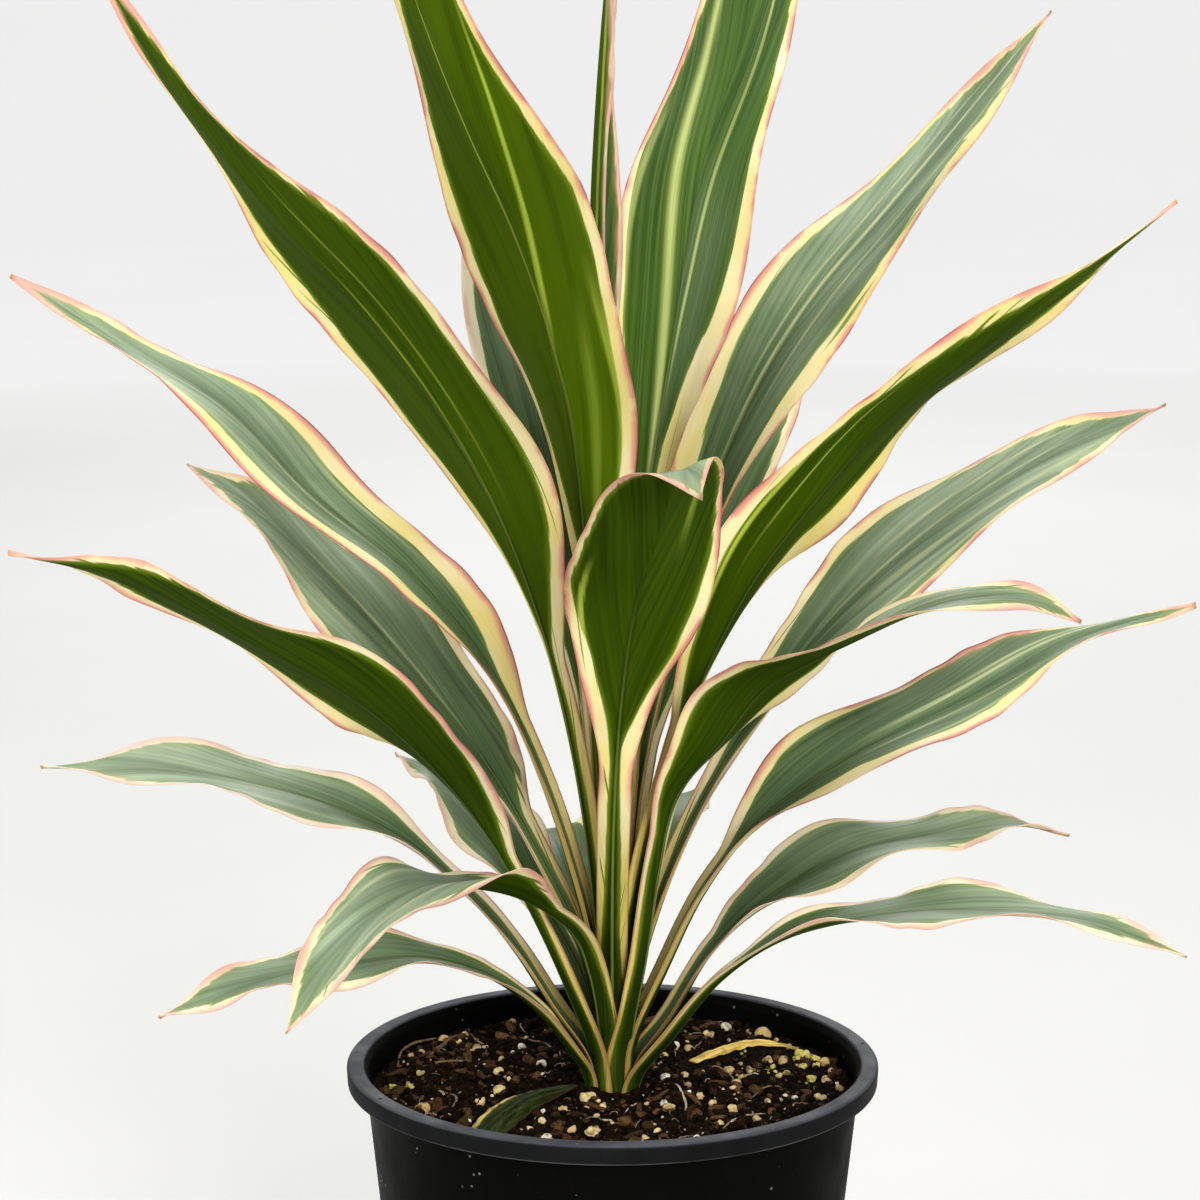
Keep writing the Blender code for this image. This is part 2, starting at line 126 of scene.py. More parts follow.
# Compost: the solid's sizes. A pair such as STEM_CALM is the distances between which a change happens.
SOIL_TOP = 0.168
FIT_GAP = 0.0003
SOIL_RELIEF = 0.0024
RELIEF_SCALES = (45, 130)
STEM_CALM = (0.014, 0.030)
WALL_CALM = (0.090, 0.099)
GRAIN_COUNT = 44
GRAIN_SIZES = (0.0019, 0.0034)
GRAIN_REACH = 0.094
GRAIN_SPACING = 1.6
GRAIN_SEED = 7

# Compost: the fine form. CRUMB and BULGES are the (scale, height) of each layer of noise, and SOIL_DROPS how
# far below its level the surface starts at the stem's hole and ends at the pot's wall.
SOIL_RINGS = 104
SOIL_STEPS = 380
SOIL_CROWDING = 0.9
SOIL_DROPS = (0.004, 0.003)
SOIL_WALL_RINGS = (0.12, 0.06)
SOIL_UNDER_RING = 0.05
CRUMB = ((320, 0.0008), (760, 0.00055), (1500, 0.0004))
LUMP_SCALE = 190
LUMP_HEIGHT = 0.0030
CRUMB_STEM_CALM = (0.0095, 0.013)
CRUMB_WALL_CALM = (0.0985, 0.1005)
CRUMB_LITTER_CALM = (0.006, 0.011)
CRUMB_SEED = 3
BULGES = ((1.3, 1), (3.1, 0.5))
FACET_REACH = (0.62, 0.88)
FACET_CUT = 0.92
GRAIN_TURNS = ((-0.6, 0.6), (-0.6, 0.6), (0, TURN))
STONE_SIDES = ((0.85, 1.25), (0.85, 1.15), (0.70, 0.95))
CLUSTER_LUMPS = 7
CLUSTER_FORM = (2, 0.30, 2)
STONE_REACH = 0.0965
SMALL_REACH = 0.0955
SMALL_CLEAR = 0.0095
STEM_CLEAR = 0.0135
SMALL_STONES = 230
SMALL_WHITES = 60
SMALL_YELLOWS = 12

# Grains that the photograph shows, as (x, y, radius) in millimetres
TAN_GRAINS = (
    (-44, 81, 2.0), (-81, 65, 2.5), (-82, 46, 1.6), (-86, 40, 1.6), (-77, -32, 3.7), (67, 67, 3.8),
    (60, 70, 2.0), (49, 15, 2.9), (54, 6, 2.0), (90, 27, 3.0), (89, 3, 2.5), (94, -6, 2.0), (92, 17, 1.6),
    (-16, -61, 2.0),
)
CREAM_GRAINS = (
    (-65, 68, 2.5), (-47, 34, 2.0), (-48, 12, 2.0), (-54, -26, 2.5), (-46, -12, 2.9), (-20, -34, 2.0),
    (-28, -50, 2.0), (-33, -56, 1.6), (-10, -30, 1.6), (-10, -20, 3.6), (-4, -34, 2.0), (-8, -63, 3.3),
    (50, -5, 1.6), (36, -18, 2.0), (41, -25, 1.6), (58, 16, 2.3), (66, 29, 2.5), (85, -17, 2.5),
    (49, -33, 2.5), (43, -51, 2.0), (18, -59, 2.0), (13, -66, 2.0), (63, -26, 1.6), (42, 68, 2.5),
    (76, 50, 1.6),
)
WHITE_GRAINS = (
    (-39, 48, 2.0), (-30, 27, 2.0), (-26, -66, 2.0), (21, -29, 2.0), (22, 7, 2.5), (27, 52, 2.0),
    (50, 75, 2.5), (67, -19, 1.6), (71, -10, 1.6), (75, -14, 1.6), (8, -78, 1.8), (-58, -48, 1.7),
    (33, -70, 1.8),
)
YELLOW_LUMPS = (
    (81, 38, 2.9), (84, 33, 2.0), (86, 28, 2.0), (80, 21, 2.0), (83, 7, 2.0), (65, 14, 1.6), (73, 13, 1.6),
    (-91, -4, 2.0), (-84, -4, 2.0), (86, 22, 1.8), (78, 30, 1.8),
)
PINK_GRAINS = ((58, -46, 2.0),)

# Roots and sticks: points as (x, y, height above the compost), thickness and how pale, lengths in millimetres
STICKS = (
    (((26, 1, 1.2), (28, -9, 2.2), (29, -17, 1.4), (30, -27, 1.8), (29, -36, 0.6)), 1.1, 0.95),
    (((-4, -45, 1.4), (-1, -51, 2.4), (1, -56, 1.6), (3, -60, 0.8)), 1.5, 0.85),
    (((5, -38, 1.2), (8, -33, 2.4), (10, -26, 1.0)), 0.7, 0.75),
    (((44, -58, 0.8), (48, -51, 2.2), (54, -43, 2.6), (62, -36, 0.8)), 1.0, 0.55),
    (((40, 23, 0.6), (44, 20, 2.2), (48, 13, 2.2), (51, 4, 0.6)), 0.8, 0.50),
    (((-91, 24, 1.0), (-90, 40, 3.0), (-84, 54, 2.4), (-75, 62, 0.6)), 1.3, 0.10),
    (((-66, 66, 0.8), (-70, 58, 3.6), (-74, 48, 3.0), (-80, 36, 0.6)), 1.5, 0.05),
    (((-62, 71, 1.0), (-59, 62, 2.4), (-54, 54, 0.6)), 1.0, 0.20),
    (((-60, 30, 0.6), (-69, 24, 2.8), (-80, 21, 0.8)), 1.1, 0.15),
    (((-24, 40, 0.6), (-30, 52, 2.6), (-40, 62, 0.6)), 0.9, 0.30),
    (((70, -2, 0.6), (62, -8, 2.0), (56, -16, 0.6)), 0.8, 0.20),
    (((-70, -8, 0.6), (-64, -20, 2.0), (-66, -34, 0.6)), 0.9, 0.25),
    (((22, -76, 0.6), (34, -74, 2.0), (44, -70, 0.6)), 0.9, 0.15),
    (((6, 30, 0.6), (12, 44, 2.0), (10, 58, 0.6)), 0.9, 0.25),
)
STICK_SPAN = 7
STICK_LIFT = 0.7
STICK_SIDES = 9
STICK_END = 0.12
THREAD_COUNT = 60
THREAD_POINTS = 7
THREAD_SIDES = 6
THREAD_LIFT = 0.0005
THREAD_ARCH = 0.0011
THREAD_REACH = 0.096
THREAD_LENGTHS = (0.003, 0.011)
THREAD_RADII = (0.00014, 0.0003)

# Leaf litter lying on the compost
CUT_LEAF = ((-0.050, -0.064), (-0.043, -0.044), (-0.032, -0.024), (-0.016, -0.004))
CUT_LEAF_HALF = 0.0075
DRY_STRIP = ((0.034, 0.028), (0.047, 0.041), (0.063, 0.052), (0.080, 0.046))
DRY_STRIP_HALF = 0.0020
LITTER_ARCH = 0.0016
LITTER_TIP = 0.25
LITTER_CALM = (0.010, 0.019)
LITTER_ROWS = 90
LITTER_COLUMNS = 25
LITTER_BODY = 0.0007
LITTER_LIFT = 0.0004
LITTER_PLEAT = 0.00035
LITTER_PLEAT_SHARE = 0.42
CRUMPLE = 0.0006
CRUMPLE_SCALE = 170

# Stem
STEM_RADIUS = 0.0088
STEM_TOP_RADIUS = 0.0030
STEM_HEIGHT = 0.094
STEM_DEPTH = 0.025
STEM_STEPS = 120
STEM_SPACING = 0.0016
STEM_CORNERS = (0.001, 0.002, 0.001)
STEM_TIP = 0.0008
STEM_LEAST = 0.0004
STEM_RIB = 0.0004
STEM_RIBS = (6, 60)
STEM_RING = 0.0002
STEM_RINGS = 150

# Leaves: the solids' form. The pairs are the shares of a leaf's length between which each change happens.
BLADE_THICKNESS = 0.0009
PETIOLE_SHARE = 0.27
CHANNEL_RADIUS = 0.0080
CHANNEL_OPENS = (0.10, 0.55)
BLADE_OPENS = (0.20, 0.50)
BLADE_ROLLS = (0.15, 0.55)
TIP_ROLLS = (0.55, 0.85)
TIP_CALMS = (0.85, 1.00)
TIP_CALM = 0.6
FOLD_ROUND = 0.002
WAVES = 3.4
WAVE_POWER = 2.2
FAR_EDGE_PHASE = 0.37
SWAY_POWER = 2.5
NEARLY_FLAT = 0.001

# Leaves: the fine form
LEAF_ROWS = 150
HALF_COLUMNS = (0.025, 0.06, 0.11, 0.18, 0.27, 0.37, 0.47, 0.57, 0.67, 0.76, 0.84, 0.91, 0.96, 1.0)
FINE_TIP_HALF = 0.00035
STALK_FLARE = 1.28
RUFFLE = 0.0004
RUFFLE_COUNT = 7.5
RUFFLE_CROWDING = 0.8
WANDER = 0.8
WANDER_COUNT = 2.3
PLEAT = 0.00005
PLEAT_WIDTH = 0.0052
STALK_BODY = 0.0013
BLADE_BODY = 0.00048
EDGE_BODY = 0.00012
BODY_THINS = (0.12, 0.40)
EDGE_THINNING = 0.6
RIB_HEIGHT = 0.0010
RIB_HALF = 0.0013
RIB_FADING = 0.75
GROOVE_DEPTH = 0.00035
GROOVE_HALF = 0.0008
GROOVE_FADING = 0.6

# Leaves: the foot that clasps the stem, down into the compost
SHEATH_ROWS = 14
SHEATH_MOST = 0.040
SHEATH_BEYOND = 0.004
SHEATH_SINK = 0.012
SHEATH_CLEAR = 0.0001
SHEATH_THINNING = 0.75
SHEATH_THINS = (0.0, 0.006)
RIB_ENDS = (0.0, 0.005)
CLASP_POWER = 0.8
FOOT_FLARE = 0.0022
FOOT_FLARES = (-0.002, 0.020)
FOOT_FLARE_FALL = 0.02
SMOOTH_REACH = 9
SMOOTH_PASSES = 14
SMOOTH_PULL = 0.7

# Leaves: the pattern. The margins' widths are in millimetres, and their most as shares of the half width.
# SIDE_MARGINS has for the upper and the lower side how much of its margins' width the foot and the stalk
# show, and the share of the leaf's length at which the stalk begins.
VEIN_SLANT = 0.085
STRIPE_COUNT = 4
NO_STRIPE = (0, 0, 0.1, 0, 0, 1)
STRIPE_BEND = 1.8
STRIPE_RISES = 0.15
MARGIN_STOPS = (0.34, 0.50, 0.65, 0.80)
MARGIN_MOST = 0.80
STALK_MARGIN_MOST = 0.56
TIP_MARGIN_MOST = 0.34
MARGIN_WAVE = 0.12
BLADE_MARGIN_STARTS = (0.20, 0.36)
TIP_MARGIN_STARTS = (0.62, 0.90)
MARGIN_WIDENS = (0.20, 0.42)
SIDE_MARGINS = ((0.50, 0.85, 0.10), (0.42, 0.62, 0.16))
LEAF_SHIFT = 0.37
SIDE_SHIFT = 0.19


def leaf(name, azimuth, attach, width, path, roll=(0, 0), peak=0.42, phase=0.0, sway=0.0, stalk=0.0056,
         fold=0.20, wave=0.0035, margins=((4.5,) * 4, (4.5,) * 4), stripes=(), clasp=(18, 18), pale=0.0,
         bloom=0.2, lit=0.1, slant=VEIN_SLANT):
    """One leaf. azimuth, in degrees, is counted from +X towards +Y.

    attach is the height above the compost at which the leaf leaves the stem, width its blade's greatest
    width, and path the points that it passes, midway between its edges, as (out from the stem's axis, up
    from the compost) in millimetres. Other lengths are in metres.
    roll is its turn about that line, in degrees, at the blade's middle and at its tip, and peak the share
    of the blade's length at which it is widest. sway is how far its tip leans to its left, stalk half the
    width of its foot, fold the slope of its two halves, and wave the height of its edges' waves.
    margins are the widths in millimetres of the cream bands along its right and left edges, each at the
    shares MARGIN_STOPS of its length. Each stripe is (place across the leaf at its start, and at its end,
    from -1 to 1, half its width in the same measure, strength, share of the leaf's length at which it
    starts, and at which it ends). clasp is how many degrees further its foot reaches round the stem at its
    right and left. pale is how far its margins are bleached, from 0 to 1, or below 0 how much pinker its
    edge is, bloom how strongly a painted sky sheen pales its upper side, lit how strongly painted
    light, as of light shining through it, brightens its lower side, and slant how far its veins lean out
    from the midrib.
    """
    return SimpleNamespace(**locals())


LEAVES = (
    leaf("leaf_low_left", 188, 0.005, 0.036, roll=(-18, -16), peak=0.48, phase=0.3, clasp=(20, 0), pale=0.6,
         bloom=0.75, margins=((2.0, 2.2, 2.2, 2.0), (3.0, 3.2, 4.4, 3.6)), path=((30, 33), (52, 50),
         (80, 60), (112, 59), (148, 52), (186, 37))),
    leaf("leaf_low_right", -18, 0.004, 0.036, roll=(8, 10), phase=0.7, clasp=(8, 20), pale=0.7, bloom=0.75,
         margins=((2.6, 3.0, 4.2, 4.4), (2.6, 2.4, 2.4, 1.8)), path=((24, 22), (46, 50), (75, 72),
         (110, 85), (155, 91), (200, 88), (235, 76))),
    leaf("leaf_right_drooping", 14, 0.009, 0.038, roll=(20, 14), peak=0.36, phase=0.1, pale=0.7, bloom=1.0,
         margins=((3.0, 3.0, 3.8, 2.4), (2.8, 2.2, 1.8, 1.3)), path=((24, 27), (42, 55), (68, 79),
         (102, 96), (142, 101), (175, 102), (200, 95))),
    leaf("leaf_left_level", 165, 0.011, 0.040, roll=(-14, -18), peak=0.52, phase=0.5, pale=0.9, bloom=1.0,
         margins=((4.0, 4.0, 3.2, 2.6), (2.6, 2.0, 2.0, 1.5)),
         stripes=((0.05, 0.12, 0.05, 0.35, 0.5, 0.95),), path=((24, 30), (42, 56), (66, 82), (98, 105),
         (140, 119), (200, 126), (254, 120))),
    leaf("leaf_front_drooping", 232, 0.030, 0.050, roll=(4, -8), phase=0.2, pale=0.5, bloom=0.9,
         margins=((3.6, 4.0, 4.2, 3.0), (3.0, 4.0, 3.8, 3.0)), stripes=((0.35, 0.6, 0.06, 0.8, 0.5, 0.95),
         (-0.6, -0.78, 0.05, 0.8, 0.45, 0.92)), path=((14, 52), (23, 69), (45, 86), (80, 105), (116, 114),
         (148, 107), (174, 90), (194, 70))),
    leaf("leaf_left_dark", 202, 0.018, 0.046, roll=(34, 28), peak=0.38, phase=0.9, pale=0.3,
         margins=((5.5, 8.8, 7.0, 3.4), (3.6, 2.2, 2.3, 2.2)), path=((16, 36), (30, 68), (52, 110),
         (78, 147), (108, 175), (151, 201), (200, 227), (245, 238))),
    leaf("leaf_right_long", 6, 0.020, 0.048, roll=(26, 18), peak=0.38, phase=0.4, clasp=(15, 15), pale=0.2,
         bloom=0.65, margins=((6.0, 11.5, 5.6, 4.6), (5.0, 3.6, 2.0, 1.6)),
         stripes=((0.16, 0.62, 0.06, 1.0, 0.50, 0.92), (0.34, 0.78, 0.045, 0.9, 0.60, 0.9),
         (-0.2, -0.45, 0.04, 0.6, 0.45, 0.8), (-0.62, -0.74, 0.05, 0.6, 0.5, 0.85)), path=((20, 46),
         (38, 83), (62, 114), (95, 140), (142, 163), (190, 186), (242, 198))),
    leaf("leaf_front_right_arched", -34, 0.024, 0.048, roll=(-14, 24), peak=0.42, phase=0.6, clasp=(48, 15),
         pale=0.3, bloom=0.9, margins=((3.0, 3.2, 10.0, 4.6), (9.0, 8.0, 4.5, 3.6)),
         stripes=((0.25, 0.45, 0.07, 0.5, 0.6, 0.95), (-0.2, -0.35, 0.04, 0.5, 0.65, 0.95)), path=((15, 56),
         (22, 98), (30, 128), (48, 152), (70, 180), (108, 202), (150, 220), (186, 224), (208, 216))),
    leaf("leaf_back_left_pale", 150, 0.034, 0.052, roll=(-20, -16), phase=0.15, pale=0.5, bloom=0.85,
         margins=((4.0, 3.6, 3.0, 2.4), (4.4, 4.4, 3.4, 2.4)),
         stripes=((-0.05, -0.12, 0.04, 0.5, 0.35, 0.8), (0.4, 0.62, 0.05, 0.4, 0.5, 0.9)), path=((14, 56),
         (36, 94), (65, 137), (102, 175), (140, 206), (180, 233), (214, 246))),
    leaf("leaf_right_upper", 22, 0.034, 0.050, roll=(22, 22), peak=0.50, phase=0.8, pale=0.3, bloom=0.95,
         margins=((4.0, 3.8, 3.6, 2.6), (4.6, 5.2, 4.4, 2.8)),
         stripes=((-0.24, -0.62, 0.08, 0.9, 0.48, 0.92), (0.35, 0.7, 0.04, 0.8, 0.55, 0.93),
         (0.1, 0.22, 0.03, 0.6, 0.45, 0.9), (-0.66, -0.8, 0.05, 0.8, 0.42, 0.74)), path=((14, 56), (24, 84),
         (43, 122), (70, 161), (102, 196), (145, 228), (202, 257), (256, 273))),
    leaf("leaf_front_centre", 269, 0.046, 0.058, roll=(0, 21), peak=0.58, phase=0.35, sway=0.034, bloom=1.0,
         lit=0.22, slant=0.20, margins=((6.0, 6.0, 2.8, 1.6), (7.0, 4.2, 4.2, 1.8)),
         stripes=((-0.8, -0.72, 0.06, 1.0, 0.4, 0.7), (0.42, 0.58, 0.07, 0.8, 0.68, 0.84)), path=((17, 85),
         (36, 138), (62, 186), (98, 236), (135, 271), (160, 281), (182, 272))),
    leaf("leaf_right_dark", -28, 0.050, 0.046, roll=(-26, -18), peak=0.36, phase=0.55, lit=0.3,
         margins=((4.6, 4.8, 4.4, 5.6), (11.0, 12.0, 5.0, 5.0)),
         stripes=((-0.66, -0.8, 0.05, 1.0, 0.32, 0.62), (-0.4, -0.62, 0.025, 0.7, 0.42, 0.72),
         (0.6, 0.72, 0.04, 0.5, 0.28, 0.5)), path=((13, 90), (25, 134), (40, 178), (62, 222), (87, 254),
         (116, 286), (150, 311), (190, 339), (232, 370))),
    leaf("leaf_left_pale", 163, 0.048, 0.046, roll=(-20, -20), peak=0.40, phase=0.05, pale=-0.6, bloom=0.9,
         margins=((8.0, 10.5, 5.6, 5.0), (6.5, 9.5, 7.5, 3.2)), stripes=((0.1, 0.2, 0.04, 0.5, 0.45, 0.9),
         (-0.45, -0.62, 0.05, 0.5, 0.4, 0.66), (0.45, 0.7, 0.05, 0.4, 0.45, 0.85)), path=((14, 80),
         (30, 128), (55, 178), (87, 215), (127, 244), (167, 280), (215, 304), (266, 330))),
    leaf("leaf_back_right_pale", 38, 0.060, 0.050, roll=(20, 14), phase=0.75, bloom=0.7,
         margins=((5.0, 8.0, 5.2, 5.0), (9.0, 8.4, 4.6, 2.8)), stripes=((0.04, 0.12, 0.045, 0.9, 0.34, 1.0),
         (0.2, 0.52, 0.03, 0.6, 0.45, 0.95), (-0.25, -0.6, 0.03, 0.6, 0.45, 0.95)), path=((14, 128),
         (29, 184), (49, 244), (74, 288), (106, 325), (143, 356), (189, 394), (243, 440))),
    leaf("leaf_left_tall_dark", 214, 0.060, 0.056, roll=(26, 12), peak=0.40, phase=0.45, stalk=0.0050,
         lit=0.32, margins=((9.5, 5.6, 6.6, 7.0), (6.0, 4.8, 3.0, 2.2)),
         stripes=((0.24, 0.42, 0.025, 0.35, 0.4, 0.8), (-0.78, -0.85, 0.05, 0.7, 0.56, 0.84),
         (0.02, 0.08, 0.02, 0.5, 0.3, 0.7)), path=((12, 110), (21, 155), (34, 200), (53, 248), (79, 290),
         (111, 329), (152, 369), (190, 412), (222, 455))),
    leaf("leaf_back_left_tall", 122, 0.068, 0.064, roll=(-8, 0), phase=0.25, stalk=0.0046, pale=0.9,
         bloom=0.5, margins=((4.8, 5.2, 4.8, 4.4), (5.0, 5.0, 4.8, 4.4)), path=((13, 130), (28, 225),
         (46, 285), (60, 322), (73, 358), (104, 402), (145, 452))),
    leaf("leaf_top_left", 230, 0.080, 0.062, roll=(10, 6), peak=0.42, phase=0.65, stalk=0.0044, lit=0.75,
         margins=((8.5, 4.0, 4.6, 3.4), (5.6, 5.0, 4.2, 3.6)),
         stripes=((-0.05, 0.78, 0.045, 1.0, 0.42, 0.84), (0.04, -0.3, 0.02, 0.8, 0.35, 0.88),
         (0.8, 0.74, 0.08, 0.8, 0.26, 0.58), (0.3, 0.5, 0.1, 0.35, 0.24, 0.55)), path=((10, 150), (15, 220),
         (22, 280), (35, 320), (54, 360), (77, 396), (101, 436), (142, 512))),
    leaf("leaf_top_right", 52, 0.078, 0.060, roll=(10, 4), peak=0.50, phase=0.95, stalk=0.0044, bloom=0.07,
         margins=((15.0, 9.5, 5.6, 3.2), (5.8, 4.8, 2.0, 2.2)),
         stripes=((0.04, 1.25, 0.11, 0.75, 0.28, 1.05), (0.04, 1.25, 0.045, 1.0, 0.28, 1.05),
         (-0.04, -1.1, 0.035, 0.8, 0.4, 1.05), (0.86, 0.84, 0.06, 0.8, 0.42, 0.72)), path=((12, 130),
         (19, 225), (31, 285), (41, 326), (55, 376), (84, 430), (122, 528))),
    leaf("leaf_spear", 95, 0.093, 0.024, roll=(72, 78), phase=0.1, stalk=0.0034, fold=0.9, wave=0.001,
         pale=0.7, bloom=0.07, lit=0.5, margins=((1.1,) * 4, (1.1,) * 4),
         stripes=((0.5, 0.5, 0.1, 0.8, 0.4, 1.0),), path=((3, 150), (2, 260), (1, 360), (1, 440),
         (-2, 500))),
    leaf("leaf_back_low_left", 133, 0.0215, 0.040, roll=(-6, 0), phase=0.33, pale=0.8, bloom=0.5,
         margins=((3.6,) * 4, (3.6,) * 4), path=((22, 46), (44, 70), (72, 96), (108, 114), (140, 118))),
    leaf("leaf_back_low_right", 76, 0.014, 0.042, phase=0.53, sway=0.012, pale=0.6, margins=((3.6,) * 4,
         (3.6,) * 4), path=((26, 44), (56, 78), (96, 96), (140, 94), (182, 76))),
    leaf("leaf_back_mid", 94, 0.027, 0.052, phase=0.73, sway=0.010, pale=0.5, margins=((4.8,) * 4,
         (4.8,) * 4), stripes=((0.1, 0.2, 0.05, 0.7, 0.4, 0.95),), path=((21, 76), (44, 138), (78, 202),
         (125, 256), (175, 288), (222, 298))),
    leaf("leaf_back_right_mid", 62, 0.042, 0.052, roll=(6, 6), phase=0.13, pale=0.5, margins=((4.8,) * 4,
         (4.8,) * 4), stripes=((-0.15, -0.3, 0.05, 0.7, 0.4, 0.95),), path=((16, 96), (36, 156), (70, 214),
         (118, 262), (165, 292), (212, 306))),
    leaf("leaf_back_low", 106, 0.008, 0.040, phase=0.83, sway=-0.010, pale=0.6, margins=((3.6,) * 4,
         (3.6,) * 4), path=((30, 38), (66, 68), (112, 82), (172, 68))),
)


def ramp(x, low, high):
    """0 below low, 1 above high, and smooth between."""
    x = np.clip((x - low) / (high - low), 0, 1)
    return x * x * (3 - 2 * x)


def between(p, q, start, end, x):
    """The point on the line that passes p at start and q at end, at x."""
    return p + (q - p) * (x - start) / (end - start)


def curve_through(points, per_span=12):
    """A smooth curve through the points, a centripetal Catmull-Rom spline, as a dense list of points."""
    points = np.array(points, float)
    row = np.vstack([2 * points[0] - points[1], points, 2 * points[-1] - points[-2]])
    dense = []
    for a, b, c, d in zip(row, row[1:], row[2:], row[3:]):
        spans = [math.sqrt(np.linalg.norm(q - p)) for p, q in ((a, b), (b, c), (c, d))]
        k0, k1, k2, k3 = np.cumsum([0.0] + spans)
        for x in np.linspace(k1, k2, per_span, endpoint=False):
            ab, bc, cd = between(a, b, k0, k1, x), between(b, c, k1, k2, x), between(c, d, k2, k3, x)
            dense.append(between(between(ab, bc, k0, k2, x), between(bc, cd, k1, k3, x), k1, k2, x))
    dense.append(points[-1])
    return np.array(dense)


def run_of(points):
    """The share of the line's length at each of its points, and that length."""
    run = np.concatenate([[0], np.cumsum(np.linalg.norm(np.diff(points, axis=0), axis=1))])
    return run / run[-1], run[-1]


def positions_at(points, shares, s):
    """The line's points at the shares s of its length."""
    return np.stack([np.interp(s, shares, column) for column in points.T], -1)


def unit(vectors):
    return vectors / np.linalg.norm(vectors, axis=-1, keepdims=True)


def directions_at(points, shares, s, step):
    """The line's directions at the shares s of its length, read from a step behind to a step ahead."""
    ahead = positions_at(points, shares, np.clip(s + step, 0, 1))
    return unit(ahead - positions_at(points, shares, np.clip(s - step, 0, 1)))


def normals_of(grid):
    """The directions out of the upper side of a grid of points."""
    return unit(np.cross(np.gradient(grid, axis=0), np.gradient(grid, axis=1)))


def stem_radius(up):
    return STEM_RADIUS + (STEM_TOP_RADIUS - STEM_RADIUS) * np.clip(up / STEM_HEIGHT, 0, 1)


def midrib(spec):
    """The leaf's midrib: its points, their shares of its length, the way to its left, and its length."""
    a = math.radians(spec.azimuth)
    outward = np.array([math.cos(a), math.sin(a), 0])
    left = np.array([-math.sin(a), math.cos(a), 0])
    upward = np.array([0, 0, 1])
    start = (stem_radius(spec.attach) + FIT_GAP + BLADE_THICKNESS / 2, spec.attach)
    path = [start] + [(out / 1000, up / 1000) for out, up in spec.path]
    points = curve_through([outward * out + upward * (SOIL_TOP + up) for out, up in path])
    shares, length = run_of(points)
    return points + spec.sway * np.outer(shares ** SWAY_POWER, left), shares, left, length


def half_width(spec, s):
    """Half the leaf's width at share s of its length: a narrow stalk, then a long blade with a fine tip."""
    u = np.clip((s - PETIOLE_SHARE) / (1 - PETIOLE_SHARE), 0, 1)
    power = math.log(0.5) / math.log(spec.peak)
    blade = 0.5 * spec.width * np.sin(math.pi * u ** power)
    return np.maximum(FINE_TIP_HALF, np.hypot(blade, STALK_FLARE * spec.stalk * (1 - u) ** 2))


def blade_axes(spec, line, s):
    """The directions across the leaf and out of its upper side, at the shares s of its length."""
    points, shares, left, _ = line
    tangent = directions_at(points, shares, s, 0.01)
    side = unit(left - tangent * (tangent @ left)[:, None])
    normal = np.cross(tangent, side)
    middle, tip = spec.roll
    turn = np.radians(middle * ramp(s, *BLADE_ROLLS) + (tip - middle) * ramp(s, *TIP_ROLLS))[:, None]
    return side * np.cos(turn) + normal * np.sin(turn), normal * np.cos(turn) - side * np.sin(turn)


def blade_surface(spec, line, s, t):
    """The leaf's middle surface: a point for each share s of its length and each place t across it.

    It is the solids' own form, with a finer ruffle along the edges and shallow pleats between the veins.
    """
    side, normal = blade_axes(spec, line, s)
    half = half_width(spec, s)[:, None]
    bend = ((1 - ramp(s, *CHANNEL_OPENS)) / CHANNEL_RADIUS + NEARLY_FLAT)[:, None]
    across = np.sin(half * t * bend) / bend
    channel = (1 - np.cos(half * t * bend)) / bend
    blade = ramp(s, *BLADE_OPENS)[:, None]
    fold = blade * spec.fold * (np.hypot(across, FOLD_ROUND) - half)
    calm = 1 - TIP_CALM * ramp(s, *TIP_CALMS)[:, None]
    phase = WAVES * s[:, None] + spec.phase + FAR_EDGE_PHASE * (t > 0)
    waves = blade * calm * spec.wave * np.abs(t) ** WAVE_POWER * np.sin(TURN * phase)
    wander = WANDER * np.sin(TURN * (WANDER_COUNT * s + spec.phase))[:, None]
    ruffle_phase = RUFFLE_COUNT * s[:, None] ** RUFFLE_CROWDING + wander + 3.1 * spec.phase + 0.4 * (t > 0)
    ruffle = blade * calm * RUFFLE * np.abs(t) ** 4 * np.sin(TURN * ruffle_phase)
    pleats = blade * PLEAT * np.cos(TURN * across / PLEAT_WIDTH) * (1 - t ** 4)
    rise = channel + fold + waves + ruffle + pleats
    centre = positions_at(line[0], line[1], s)
    return centre[:, None] + side[:, None] * across[..., None] + normal[:, None] * rise[..., None]


def sheath_length(spec):
    return min(spec.attach + SHEATH_BEYOND, SHEATH_MOST)


def sheath_surface(spec, t):
    """The leaf's foot, which clasps the stem below the place where the leaf leaves it, down into the compost.

    The lower a leaf leaves the stem, the further out its foot lies there.
    """
    share = np.linspace(0, 1, SHEATH_ROWS, endpoint=False)[:, None]
    depth = sheath_length(spec) * (1 - share)
    up = spec.attach - depth
    gap = (FIT_GAP + BLADE_THICKNESS / 2) * np.exp(-depth / SHEATH_SINK)
    radius = stem_radius(up) + SHEATH_CLEAR + gap
    radius = radius + FOOT_FLARE * (1 - ramp(up, *FOOT_FLARES)) * np.exp(-spec.attach / FOOT_FLARE_FALL)
    wrap = STALK_FLARE * spec.stalk / stem_radius(spec.attach)
    right, left = (math.radians(value) for value in spec.clasp)
    clasp = np.where(t < 0, right, left) * (1 - share) ** CLASP_POWER
    angle = math.radians(spec.azimuth) + t * (wrap + clasp)
    height = np.broadcast_to(SOIL_TOP + up, angle.shape)
    return np.stack([radius * np.cos(angle), radius * np.sin(angle), height], -1)


